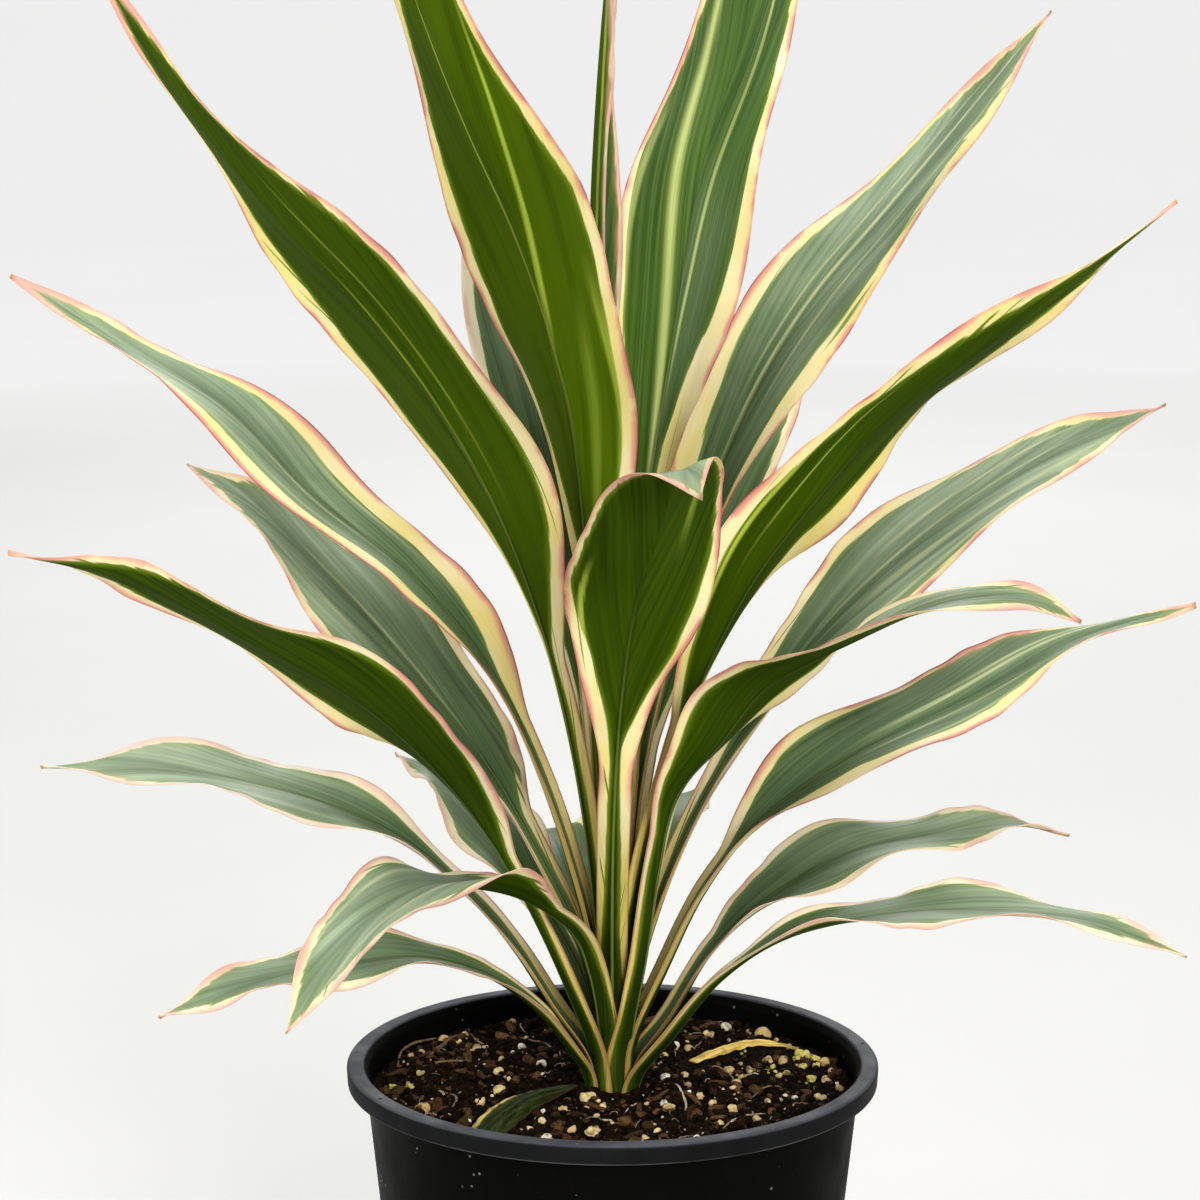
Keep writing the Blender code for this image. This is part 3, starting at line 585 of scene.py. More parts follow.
def smoothed_rows(grid, middle):
    """The grid with its rows near the middle one drawn into an even curve."""
    rows = np.arange(len(grid))
    weight = np.clip(1 - np.abs(rows - middle) / SMOOTH_REACH, 0, 1)[1:-1, None, None]
    for _ in range(SMOOTH_PASSES):
        mean = (grid[:-2] + grid[2:]) / 2
        grid[1:-1] += weight * SMOOTH_PULL * (mean - grid[1:-1])
    return grid


def leaf_body(s, t, half, below):
    """How far the leaf's upper side and its lower side stand from its middle surface."""
    across = half * t
    blade = ramp(s, *BODY_THINS)
    body = STALK_BODY * (1 - blade) + BLADE_BODY * blade
    body = body * (1 - SHEATH_THINNING * ramp(below, *SHEATH_THINS))
    thickness = body * (1 - EDGE_THINNING * np.abs(t) ** 3) + EDGE_BODY
    rib = RIB_HEIGHT * (1 - RIB_FADING * s) * np.exp(-(across / RIB_HALF) ** 2) * (1 - ramp(below, *RIB_ENDS))
    groove = GROOVE_DEPTH * blade * (1 - GROOVE_FADING * s) * np.exp(-(across / GROOVE_HALF) ** 2)
    return (thickness / 2 - groove)[..., None], (thickness / 2 + rib)[..., None]


def margin_bands(spec, s, t, half):
    """How wide, in millimetres, the cream bands are on the leaf's upper side and on its lower side."""
    right, left = (np.interp(s, MARGIN_STOPS, widths) for widths in spec.margins)
    wave = np.sin(TURN * (3.6 * s + 1.7 * spec.phase + 0.45 * (t > 0)))
    band = np.where(t < 0, right, left) * (1 + MARGIN_WAVE * wave)
    most = STALK_MARGIN_MOST + (MARGIN_MOST - STALK_MARGIN_MOST) * ramp(s, *BLADE_MARGIN_STARTS)
    most = most + (TIP_MARGIN_MOST - MARGIN_MOST) * ramp(s, *TIP_MARGIN_STARTS)
    bands = []
    for foot, stalk, stalk_starts in SIDE_MARGINS:
        narrow = foot + (stalk - foot) * ramp(s, 0.0, stalk_starts) + (1 - stalk) * ramp(s, *MARGIN_WIDENS)
        bands.append(np.minimum(band * narrow, most * half * 1000))
    return bands


def closed_grid(name, upper, lower):
    """A closed mesh between two grids of points alike in size, the upper one facing out."""
    rows, columns = upper.shape[:2]
    count = rows * columns
    index = np.arange(count).reshape(rows, columns)
    quads = np.stack([index[:-1, :-1], index[:-1, 1:], index[1:, 1:], index[1:, :-1]], -1).reshape(-1, 4)
    rim = np.concatenate([index[0], index[1:, -1], index[-1, -2::-1], index[-2:0:-1, 0]])
    ahead = np.roll(rim, -1)
    strip = np.stack([rim, ahead, ahead + count, rim + count], -1)
    faces = np.concatenate([quads[:, ::-1], quads + count, strip])
    points = np.concatenate([upper.reshape(-1, 3), lower.reshape(-1, 3)])
    mesh = bpy.data.meshes.new(name)
    mesh.from_pydata(points.tolist(), [], faces.tolist())
    return mesh


def add_values(mesh, name, *columns):
    """Stores up to three numbers for each of the mesh's points."""
    values = np.zeros((len(mesh.vertices), 3), np.float32)
    for i, column in enumerate(columns):
        values[:, i] = np.ravel(column)
    layer = mesh.attributes.new(name, "FLOAT_VECTOR", "POINT")
    layer.data.foreach_set("vector", values.ravel())


def both(values):
    """The same values for a closed grid's upper points and its lower ones."""
    return np.concatenate([np.ravel(values)] * 2)


def link(obj):
    """Puts the object in the scene."""
    bpy.context.scene.collection.objects.link(obj)
    return obj


def smooth(mesh):
    mesh.polygons.foreach_set("use_smooth", [True] * len(mesh.polygons))


def add_piece(name, mesh, material, slot, *nodes):
    """Puts a mesh in the scene as a piece of the object, in place of the nodes named."""
    mesh.name = name
    if material:
        mesh.materials.clear()
        mesh.materials.append(material)
    smooth(mesh)
    piece = link(bpy.data.objects.new(name, mesh))
    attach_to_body(piece, "root")
    if nodes:
        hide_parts(*nodes)
    return piece


def make_leaf(number, spec, upper_side, lower_side):
    """One leaf: its closed surface, and for each point the numbers from which its material is drawn."""
    line = midrib(spec)
    s = np.linspace(0, 1, LEAF_ROWS)
    t = np.array([-x for x in reversed(HALF_COLUMNS)] + [0.0] + list(HALF_COLUMNS))[None]
    surface = np.concatenate([sheath_surface(spec, t), blade_surface(spec, line, s, t)])
    surface = smoothed_rows(surface, SHEATH_ROWS)
    normal = normals_of(surface)
    s = np.concatenate([np.zeros(SHEATH_ROWS), s])[:, None]
    half = half_width(spec, s)
    below = np.linspace(sheath_length(spec), 0, SHEATH_ROWS, endpoint=False)
    along = np.concatenate([-below, np.linspace(0, line[3], LEAF_ROWS)])[:, None]
    below = np.concatenate([below, np.zeros(LEAF_ROWS)])[:, None]
    above, beneath = leaf_body(s, t, half, below)
    mesh = closed_grid(spec.name, surface + normal * above, surface - normal * beneath)
    mesh.materials.append(upper_side)
    mesh.materials.append(lower_side)
    sides = np.ones(len(mesh.polygons), np.int32)
    sides[:(surface.shape[0] - 1) * (surface.shape[1] - 1)] = 0
    mesh.polygons.foreach_set("material_index", sides)

    across = half * t
    one = np.ones_like(across)
    slant = np.abs(across) - spec.slant * along
    edge = (half - np.abs(across)) * 1000
    upper_band, lower_band = (np.ravel(band) for band in margin_bands(spec, s, t, half))
    leaf_shift = LEAF_SHIFT * number
    side_shift = leaf_shift + SIDE_SHIFT * (t > 0) * one
    add_values(mesh, "leaf_place", both(across), both(along * one), leaf_shift)
    add_values(mesh, "leaf_vein", both(slant), both(along * one), both(side_shift))
    add_values(mesh, "leaf_edge", both(edge), np.concatenate([upper_band, lower_band]), spec.pale)
    add_values(mesh, "leaf_share", both(s * one), both(t * one), spec.bloom)
    add_values(mesh, "leaf_light", spec.lit)
    for k in range(STRIPE_COUNT):
        first, last, wide, strength, start, end = spec.stripes[k] if k < len(spec.stripes) else NO_STRIPE
        place = first + (last - first) * np.clip((s - start) / (end - start), 0, 1) ** STRIPE_BEND
        shown = strength * ramp(s, start, start + STRIPE_RISES) * (1 - ramp(s, end - 0.08, end + 0.02))
        add_values(mesh, f"leaf_stripe_{k + 1}", both(place * one), wide, both(shown * one))
    return add_piece(f"{spec.name}_fine", mesh, None, "leaf", spec.name)


# Where the mix node keeps the sockets for colours
MIX_SHARE, MIX_A, MIX_B = 0, 6, 7
MIX_RESULT = 2


class Value:
    """What a node gives: a colour, or a number to reckon with. A number from 0 to 1 can mix two others."""

    def __init__(self, paint, socket):
        self.paint = paint
        self.socket = socket

    def __add__(self, other):
        return self.paint.math("ADD", self, other)

    def __sub__(self, other):
        return self.paint.math("SUBTRACT", self, other)

    def __rsub__(self, other):
        return self.paint.math("SUBTRACT", other, self)

    def __mul__(self, other):
        return self.paint.math("MULTIPLY", self, other)

    def __truediv__(self, other):
        return self.paint.math("DIVIDE", self, other)

    def __abs__(self):
        return self.paint.math("ABSOLUTE", self)

    def within(self, share):
        """The number times the share, kept between 0 and 1."""
        return self.paint.math("MULTIPLY", self, share, clamp=True)

    def step(self, low, high, start=0.0, end=1.0):
        """start where the number is below low, end where it is above high, and smooth between."""
        inputs = {"Value": self, "From Min": low, "From Max": high, "To Min": start, "To Max": end}
        return self.paint.value("MapRange", inputs, "Result", interpolation_type="SMOOTHSTEP")

    def mix(self, a, b, blend="MIX"):
        """a where the number is 0, b where it is 1, and both between."""
        inputs = {MIX_SHARE: self, MIX_A: a, MIX_B: b}
        return self.paint.value("Mix", inputs, MIX_RESULT, data_type="RGBA", blend_type=blend)


class Paint:
    """One node material, with short ways to add its nodes."""

    def __init__(self, name):
        self.material = bpy.data.materials.new(name)
        self.material.use_nodes = True
        self.tree = self.material.node_tree
        self.shader = self.tree.nodes["Principled BSDF"]

    def put(self, socket, value):
        """Gives a socket a number, vector or colour, or links to it what a node gives."""
        if isinstance(value, Value):
            self.tree.links.new(value.socket, socket)
        elif isinstance(value, tuple) and socket.type == "RGBA":
            socket.default_value = (*value, 1)
        else:
            socket.default_value = value

    def value(self, kind, inputs, output=0, **settings):
        """Adds a node, with its inputs and output by their names or places, and gives its output."""
        node = self.tree.nodes.new(f"ShaderNode{kind}")
        for name, setting in settings.items():
            setattr(node, name, setting)
        for name, value in inputs.items():
            self.put(node.inputs[name], value)
        return Value(self, node.outputs[output])

    def set(self, **values):
        """Gives the shader its values, by socket name with _ for each space."""
        for name, value in values.items():
            self.put(self.shader.inputs[name.replace("_", " ")], value)

    def math(self, operation, *values, clamp=False):
        return self.value("Math", dict(enumerate(values)), operation=operation, use_clamp=clamp)

    def vector(self, name=None):
        """The vector stored under a name, or else the point's place on the object."""
        if name:
            return self.value("Attribute", {}, "Vector", attribute_name=name)
        return self.value("TexCoord", {}, "Object")

    def place(self, scale=(1, 1, 1), name=None):
        """That vector, scaled along each axis."""
        return self.value("VectorMath", {0: self.vector(name), 1: scale}, operation="MULTIPLY")

    def split(self, vector):
        """A vector's three numbers."""
        first = self.value("SeparateXYZ", {0: vector})
        return [Value(self, output) for output in first.socket.node.outputs]

    def stored(self, name):
        """The three numbers stored under that name."""
        return self.split(self.vector(name))

    def out_and_up(self):
        """How far the point is from the upright axis, and how high."""
        x, y, up = self.split(self.place())
        return self.math("SQRT", x * x + y * y), up

    def noise(self, scale, detail=2.0, roughness=0.5, name=None):
        """Noise over the object, or over the vector stored under a name. scale may differ for each axis."""
        stretch, scale = (scale, 1.0) if isinstance(scale, tuple) else ((1, 1, 1), scale)
        place = self.place(stretch, name)
        inputs = {"Vector": place, "Scale": scale, "Detail": detail, "Roughness": roughness}
        return self.value("TexNoise", inputs, "Fac")

    def cells(self, scale):
        """How far the point is from the nearest of many scattered spots."""
        return self.value("TexVoronoi", {"Vector": self.place(), "Scale": scale}, "Distance")

    def bump(self, height, distance, strength=1.0):
        inputs = {"Strength": strength, "Distance": distance, "Height": height}
        self.set(Normal=self.value("Bump", inputs))

    def see_through(self, colour, share):
        """Lets a share of the light that falls on one side shine through the other."""
        glow = self.value("BsdfTranslucent", {"Color": colour})
        both_sides = self.value("MixShader", {0: share, 1: Value(self, self.shader.outputs[0]), 2: glow})
        self.put(self.tree.nodes["Material Output"].inputs[0], both_sides)


UPPER_DARK = (0.030, 0.072, 0.022)
UPPER_LIGHT = (0.100, 0.180, 0.060)
# Painted sky sheen, mixed into the upper side's green
UPPER_BLOOM = (0.475, 0.570, 0.400)
UPPER_VEIN = (0.26, 0.34, 0.19)
FRESH_DARK = (0.026, 0.072, 0.004)
FRESH_LIGHT = (0.085, 0.165, 0.010)
LOWER_DARK = (0.019, 0.041, 0.0004)
LOWER_LIGHT = (0.055, 0.101, 0.0010)
# Painted light, as of light shining through the lower side
LOWER_BRIGHT = (0.115, 0.185, 0.0030)
LOWER_FOOT = (0.012, 0.024, 0.0012)
LOWER_VEIN = (0.11, 0.18, 0.010)
GOLDEN_GREEN = (0.240, 0.240, 0.030)
YELLOW_GREEN = (0.280, 0.400, 0.030)
STRIPE_YELLOW = (0.500, 0.570, 0.100)
# The stripes' own yellow, paled by the painted sky sheen
STRIPE_PALE = (0.620, 0.645, 0.390)
# Painted shade along the midrib
MIDRIB_DARK = (0.010, 0.026, 0.003)
MIDRIB_LIGHT = (0.200, 0.250, 0.060)
CREAM_YELLOW = (0.850, 0.745, 0.350)
CREAM_PALE = (0.890, 0.795, 0.530)
CREAM_VEIN = (0.66, 0.60, 0.20)
BLEACHED = (0.880, 0.800, 0.690)
PINK = (0.720, 0.335, 0.275)
SOFT_PINK = (0.830, 0.600, 0.520)
DEEP_PINK = (0.420, 0.110, 0.140)
STALK_GOLD = (0.560, 0.430, 0.105)
STALK_PALE = (0.760, 0.610, 0.240)
FOOT_GOLD = (0.300, 0.215, 0.055)
EDGE_BROWN = (0.260, 0.110, 0.050)
DRY = (0.420, 0.260, 0.090)
SHINE_THROUGH = (0.30, 0.55, 0.01)


class LeafPaint(Paint):
    """One side of the leaves: green with cream margins, a pink edge, fine slanting veins and pale stripes."""

    def __init__(self, name, upper):
        super().__init__(name)
        self.upper = upper
        self.across, _, _ = self.stored("leaf_place")
        self.edge, self.margin, self.pale = self.stored("leaf_edge")
        self.share, self.t, self.bloom = self.stored("leaf_share")
        self.streak = self.noise((760, 8, 5), name="leaf_vein")
        self.band = self.noise((210, 6, 3), name="leaf_vein")
        self.vein = self.noise((2000, 6, 3), name="leaf_vein")
        self.patch = self.noise((60, 26, 9), name="leaf_place")
        self.reach = self.margin_reach()
        self.cream = self.margin_mask()

        colour = self.cream.mix(self.green(), self.ivory())
        colour = self.edged(colour)
        blotch = self.noise((22, 9, 31), name="leaf_place")
        brightness = blotch.step(0.25, 0.75, 0.86, 1.12)
        colour = self.value("HueSaturation", {"Value": brightness, "Color": colour})
        rough = self.streak.step(0.3, 0.7, 0.34, 0.46) if upper else self.streak.step(0.3, 0.7, 0.46, 0.58)
        self.set(Base_Color=colour, Roughness=rough, Specular_IOR_Level=0.27 if upper else 0.10)
        lit = self.cream.step(0.2, 0.8, 0.5, 0.12).mix(colour, SHINE_THROUGH, "OVERLAY")
        self.see_through(lit, self.share.step(0.08, 0.40, 0.05, 0.34))
        self.bump(self.vein + self.streak * 1.5, 0.00018, 0.30)

    def margin_reach(self):
        """How far, in millimetres, the point lies within the margin's own streaky border."""
        border = self.margin * self.math("MULTIPLY_ADD", self.patch, 0.36, 0.82)
        thread = self.noise((640, 3.2, 5), 1, name="leaf_vein")
        wander = (thread - 0.5) * self.share.step(0.30, 0.60, 0.7, 2.6)
        return border + wander - self.edge

    def margin_mask(self):
        """Where the leaf is cream: its margins, but for green islands deep in them."""
        island = self.noise((560, 5, 17), 1, name="leaf_vein").step(0.66, 0.70)
        deep = (self.edge / self.margin).step(0.35, 0.60)
        return self.reach.step(-0.55, 0.25) * (1.0 - island * deep)

    def upper_green(self):
        """The upper side's green, under a painted sky sheen that is stronger towards the edges and the tip.
        """
        fresh = self.bloom.step(0.08, 0.50, 1.0, 0.0)
        dark, light = fresh.mix(UPPER_DARK, FRESH_DARK), fresh.mix(UPPER_LIGHT, FRESH_LIGHT)
        green = self.streak.step(0.20, 0.80).mix(dark, light)
        # Painted sky sheen, stronger towards the tip and the edges, and weaker along the midrib, where it
        # leaves painted shade
        misty = self.bloom * self.share.step(0.36, 0.82, 0.22, 1.0)
        misty = misty * abs(self.across).step(0.0, 0.012, 0.66, 1.08)
        misty = misty * self.band.step(0.30, 0.70, 0.62, 1.12) * self.patch.step(0.30, 0.70, 0.82, 1.12)
        return misty.within(self.streak.step(0.25, 0.75, 0.80, 1.08)).mix(green, UPPER_BLOOM)

    def lower_green(self):
        """The lower side's green, with painted light shining through it, and dark at the stalk's foot."""
        green = self.streak.step(0.10, 0.90).mix(LOWER_DARK, LOWER_LIGHT)
        green = self.band.step(0.52, 0.75, 0.0, 0.50).mix(green, LOWER_LIGHT)
        # Painted light: each leaf's lit brightens its lower side where light would shine through it
        lit = self.stored("leaf_light")[0] * self.share.step(0.34, 0.66, 1.35, 0.85)
        green = lit.within(self.band.step(0.30, 0.62, 0.55, 1.1)).mix(green, LOWER_BRIGHT)
        return self.share.step(0.04, 0.34, 0.80, 0.0).mix(green, LOWER_FOOT)

    def green(self):
        """All that isn't cream: yellower beside the margins, with stripes, painted shade along the midrib,
        and fine veins.
        """
        share, reach, away = self.share, self.reach, abs(self.across)
        green = self.upper_green() if self.upper else self.lower_green()
        near = reach.step(-2.8, 0.0) * share.step(0.06, 0.30, 0.2, 1.0)
        green = (near * (0.30 if self.upper else 0.50)).mix(green, YELLOW_GREEN)
        golden = reach.step(-2.2, 0.2) * share.step(0.10, 0.34, 0.75, 0.0) * share.step(0.02, 0.12, 0.15, 1.0)
        green = golden.mix(green, GOLDEN_GREEN)
        stripe = STRIPE_YELLOW
        # On the upper side the stripes are paled as far as the painted sky sheen is strong
        if self.upper:
            stripe = self.bloom.step(0.0, 0.6, 0.45, 1.0).mix(STRIPE_YELLOW, STRIPE_PALE)
        for k in range(STRIPE_COUNT):
            green = self.stripe_mask(f"leaf_stripe_{k + 1}").mix(green, stripe)
        # A band of painted shade along the midrib
        rib = away.step(0.0006, 0.0019, 1.0, 0.0) * share.step(0.25, 0.92, 0.60, 0.0)
        green = rib.mix(green, MIDRIB_DARK)
        rib = away.step(0.0002, 0.0007, 1.0, 0.0) * share.step(0.20, 0.75, 0.75, 0.0)
        green = rib.mix(green, MIDRIB_LIGHT)
        return self.vein.step(0.50, 0.72, 0.0, 0.24).mix(green, UPPER_VEIN if self.upper else LOWER_VEIN)

    def stripe_mask(self, name):
        """Where a lighter stripe shows, from its stored place, half width and strength."""
        centre, half, strength = self.stored(name)
        away = abs(self.t - centre) / half + (self.streak - 0.5) * 1.4
        soft = away.step(0.20, 1.25, 1.0, 0.0) * self.streak.step(0.30, 0.60, 0.60, 1.0)
        return soft.within(strength)

    def ivory(self):
        """The margins' cream, golden on the stalk and darker at its foot, with veins and green stains."""
        share = self.share
        ivory = self.patch.step(0.35, 0.65).mix(CREAM_YELLOW, CREAM_PALE)
        ivory = self.pale.mix(ivory, BLEACHED)
        ivory = share.step(0.08, 0.34, 0.85, 0.0).mix(ivory, STALK_PALE if self.upper else STALK_GOLD)
        ivory = share.step(0.0, 0.07, 0.85, 0.0).mix(ivory, FOOT_GOLD)
        ivory = self.vein.step(0.45, 0.65, 0.0, 0.16).mix(ivory, CREAM_VEIN)
        stained = self.streak.step(0.45, 0.75) * share.step(0.06, 0.30, 0.30 if self.upper else 0.60, 0.0)
        return stained.mix(ivory, GOLDEN_GREEN)

    def edged(self, colour):
        """The colour with the leaf's edge: pink in uneven width, with a thin deep rim, and dry at the tip."""
        share, edge, pale = self.share, self.edge, self.pale
        rosy = self.noise((30, 38, 13), 3, name="leaf_place") + pale.step(-1.0, 0.0, 0.22, 0.0)
        width = self.math("MULTIPLY_ADD", rosy.step(0.40, 0.64), 1.3, 0.75)
        blush = (edge / width).step(0.30, 1.60, 1.0, 0.0) * rosy.step(0.32, 0.58, 0.35, 0.95)
        blush = blush * share.step(0.16, 0.38, 0.05, 1.0) * pale.step(0.2, 1.0, 1.0, 0.40)
        fading = share.step(0.72, 0.97, 1.0, 0.45) * pale.step(0.0, 1.0, 1.0, 0.35)
        colour = blush.mix(colour, fading.mix(SOFT_PINK, PINK))
        blade = share.step(0.20, 0.42, 0.0, 1.0)
        halo = edge.step(0.8, 4.2, 1.0, 0.0) * rosy.step(0.36, 0.60, 0.0, 0.22) * blade
        colour = halo.mix(colour, PINK)
        rim = edge.step(0.25, 0.75, 1.0, 0.0) * rosy.step(0.44, 0.62, 0.05, 0.75)
        colour = (rim * (fading * fading) * blade).mix(colour, DEEP_PINK)
        stalk_rim = edge.step(0.30, 0.90, 0.60, 0.0) * share.step(0.24, 0.42, 1.0, 0.0)
        colour = stalk_rim.mix(colour, EDGE_BROWN)
        return share.step(0.990, 1.0, 0.0, 0.6).mix(colour, DRY)


PLASTIC_DARK, PLASTIC_LIGHT = (0.0008, 0.0008, 0.0007), (0.0024, 0.0024, 0.0021)
RIM_OUTSIDE = (0.0125, 0.0130, 0.0142)
# The rim top's grey scuffs, with a painted sky sheen on them
RIM_WORN = (0.100, 0.102, 0.114)
# A painted highlight along the rim's lower edge
RIM_LINE = (0.120, 0.120, 0.122)
DUST = (0.26, 0.24, 0.22)
FILM = (0.034, 0.031, 0.028)
PEAT_BLACK, PEAT_BROWN = (0.0022, 0.0013, 0.0006), (0.0290, 0.0172, 0.0084)
PEAT_CRUMB, PEAT_FIBRE = (0.092, 0.055, 0.0270), (0.200, 0.124, 0.062)
CRUMB_DARK = (0.0020, 0.0012, 0.0005), (0.0280, 0.0166, 0.0080)
CRUMB_BROWN = (0.028, 0.0163, 0.0078), (0.130, 0.077, 0.0380)
CRUMB_RUST = (0.052, 0.0280, 0.0125), (0.215, 0.120, 0.0560)
GRIT_LIGHT, GRIT_DARK = (0.74, 0.62, 0.33), (0.26, 0.17, 0.075)
WHITE_LIGHT, WHITE_DARK = (0.86, 0.80, 0.68), (0.50, 0.42, 0.30)
YELLOW_LIGHT, YELLOW_DARK = (0.68, 0.62, 0.20), (0.30, 0.29, 0.07)
STONE_TAN, STONE_STAIN = (0.62, 0.36, 0.14), (0.030, 0.018, 0.010)
BARK = (0.045, 0.022, 0.011), (0.20, 0.115, 0.060)
STRAW_ROOT = (0.36, 0.26, 0.15), (0.74, 0.64, 0.48)
STEM_GREEN = (0.040, 0.062, 0.010), (0.24, 0.25, 0.060)
STEM_BROWN = (0.050, 0.026, 0.012), (0.27, 0.17, 0.075)
FADED_GREEN = (0.006, 0.013, 0.0010), (0.034, 0.050, 0.005)
FADED_TAN = (0.34, 0.25, 0.070), (0.62, 0.50, 0.170)
FADED_EDGE, FADED_STAIN = (0.080, 0.036, 0.014), (0.030, 0.017, 0.008)
STRAW = (0.55, 0.36, 0.085), (0.90, 0.70, 0.24)
STRAW_DIRT = (0.085, 0.050, 0.022)


def plastic_material():
    """Matt black moulded plastic, scuffed grey with a painted sky sheen on the rim's top, with a painted
    highlight along the rim's lower edge, and dusty in specks.
    """
    paint = Paint("pot_black")
    out, up = paint.out_and_up()
    grain = paint.noise(900, 3)
    cloud = paint.noise(26, 4, 0.6)
    scuff = paint.noise((60, 60, 700), 4, 0.7)
    base = cloud.step(0.3, 0.7).mix(PLASTIC_DARK, PLASTIC_LIGHT)
    ring = out.step(NECK_RADIUS + 0.003, NECK_RADIUS + 0.005)
    ring = ring * up.step(POT_HEIGHT - 0.010, POT_HEIGHT - RIM_DROP)
    base = (ring * cloud.step(0.3, 0.7, 0.55, 1.0)).mix(base, RIM_OUTSIDE)
    # The rim's top: real grey scuffs, with a painted sky sheen that makes the top lighter than the wall
    worn = up.step(POT_HEIGHT - 0.0012, POT_HEIGHT - 0.0002) * scuff.step(0.30, 0.75, 0.55, 1.0)
    base = worn.mix(base, RIM_WORN)
    # A painted highlight line along the rim's lower edge
    line = abs(up - (POT_HEIGHT - RIM_DROP)).step(0.0, 0.0010, 1.0, 0.0)
    line = line * out.step(NECK_RADIUS, NECK_RADIUS + 0.002) * cloud.step(0.3, 0.6, 0.1, 0.8)
    base = line.mix(base, RIM_LINE)
    dust = paint.cells(210).step(0.10, 0.15, 1.0, 0.0) * paint.noise(45).step(0.55, 0.63)
    base = (dust * 0.6).mix(base, DUST)
    base = paint.noise((40, 40, 9), 5, 0.7).step(0.52, 0.78, 0.0, 0.10).mix(base, FILM)
    paint.set(Base_Color=base, Roughness=cloud.step(0.3, 0.7, 0.46, 0.62), Specular_IOR_Level=0.06)
    paint.bump(grain + scuff * 0.5, 0.00012, 0.5)
    return paint.material


def compost_material():
    """Damp peat: near black, with brown crumbs and fibres."""
    paint = Paint("compost_peat")
    lump = paint.noise(90, 5, 0.65)
    fine = paint.noise(1400, 4, 0.7)
    fibre = paint.noise((900, 140, 600), 3)
    colour = lump.step(0.35, 0.68).mix(PEAT_BLACK, PEAT_BROWN)
    colour = fine.step(0.55, 0.78, 0.0, 0.8).mix(colour, PEAT_CRUMB)
    colour = fibre.step(0.68, 0.75, 0.0, 0.7).mix(colour, PEAT_FIBRE)
    paint.set(Base_Color=colour, Roughness=lump.step(0.4, 0.6, 0.70, 0.95), Specular_IOR_Level=0.04)
    paint.bump(fine + lump, 0.0008)
    return paint.material


def crumb_material():
    """Loose peat crumbs and bark: each crumb stores how brown it is."""
    paint = Paint("compost_crumbs")
    tone, hue, _ = paint.stored("crumb_tint")
    fine = paint.noise(1200, 4, 0.7)
    dark, brown, rust = (fine.step(0.3, 0.7).mix(*pair) for pair in (CRUMB_DARK, CRUMB_BROWN, CRUMB_RUST))
    colour = tone.step(0.48, 0.92).mix(dark, hue.mix(brown, rust))
    paint.set(Base_Color=colour, Roughness=0.90, Specular_IOR_Level=0.04)
    paint.bump(fine, 0.0006, 0.9)
    return paint.material


def stone_material(name, light, dark, roughness, gloss=0.4):
    """Mineral grains, each with its own tone, pitted and stained with peat."""
    paint = Paint(name)
    tone, hue, _ = paint.stored("crumb_tint")
    mottle = paint.noise(420, 4, 0.65)
    colour = mottle.step(0.40, 0.65, 0.0, 0.5).mix(tone.mix(dark, light), dark)
    colour = (hue * 0.35).mix(colour, STONE_TAN)
    colour = paint.noise(170, 3, 0.6).step(0.52, 0.68, 0.0, 0.85).mix(colour, STONE_STAIN)
    paint.set(Base_Color=colour, Roughness=roughness, Specular_IOR_Level=gloss)
    paint.bump(mottle + paint.cells(900), 0.0004, 0.6)
    return paint.material


def stick_material():
    """Bark slivers, old roots and sticks, each with its own tone from brown to straw."""
    paint = Paint("sticks_and_roots")
    fibre = paint.noise(800, 4, 0.7)
    brown, straw = (fibre.step(0.35, 0.65).mix(*pair) for pair in (BARK, STRAW_ROOT))
    colour = paint.stored("crumb_tint")[0].mix(brown, straw)
    paint.set(Base_Color=colour, Roughness=0.85, Specular_IOR_Level=0.3)
    paint.bump(fibre, 0.0003, 0.6)
    return paint.material


def stem_material():
    """Old leaf bases round the stem: green to straw, ribbed upright, brown at the foot."""
    paint = Paint("stem_sheaths")
    rib = paint.noise((900, 900, 25), 3)
    green, brown = (rib.step(0.35, 0.68).mix(*pair) for pair in (STEM_GREEN, STEM_BROWN))
    foot = paint.split(paint.place())[2].step(SOIL_TOP + 0.001, SOIL_TOP + 0.016, 1.0, 0.0)
    paint.set(Base_Color=foot.mix(green, brown), Roughness=0.62, Specular_IOR_Level=0.4)
    paint.bump(rib, 0.0005, 0.8)
    return paint.material


def faded_material():
    """Old piece of leaf: dull green with tan streaks and a dry brown edge."""
    paint = Paint("faded_leaf")
    streak = paint.noise((700, 60, 3), 3, name="leaf_place")
    green, tan = (streak.step(0.35, 0.65).mix(*pair) for pair in (FADED_GREEN, FADED_TAN))
    edge_side = paint.stored("leaf_place")[0].step(0.0050, 0.0057)
    bare = paint.math("ADD", edge_side, streak.step(0.66, 0.76, 0.0, 0.45), clamp=True)
    colour = bare.mix(green, tan)
    colour = paint.stored("leaf_edge")[0].step(0.1, 0.7, 0.8, 0.0).mix(colour, FADED_EDGE)
    colour = paint.noise(160, 3, 0.6).step(0.55, 0.70, 0.0, 0.6).mix(colour, FADED_STAIN)
    paint.set(Base_Color=colour, Roughness=0.70, Specular_IOR_Level=0.10)
    paint.bump(streak, 0.0004, 0.7)
    return paint.material


def straw_material():
    """Dried strip of leaf: straw yellow, streaked and dirty at its ends."""
    paint = Paint("dry_straw")
    streak = paint.noise((1500, 45, 3), 3, name="leaf_place")
    stain = paint.noise(140, 3, 0.6).step(0.56, 0.74, 0.0, 0.40)
    dirt = paint.math("MAXIMUM", paint.stored("leaf_share")[0].step(0.80, 1.0, 0.0, 0.6), stain)
    colour = dirt.mix(streak.step(0.35, 0.65).mix(*STRAW), STRAW_DIRT)
    paint.set(Base_Color=colour, Roughness=0.66, Specular_IOR_Level=0.4)
    paint.bump(streak, 0.0003, 0.7)
    return paint.material


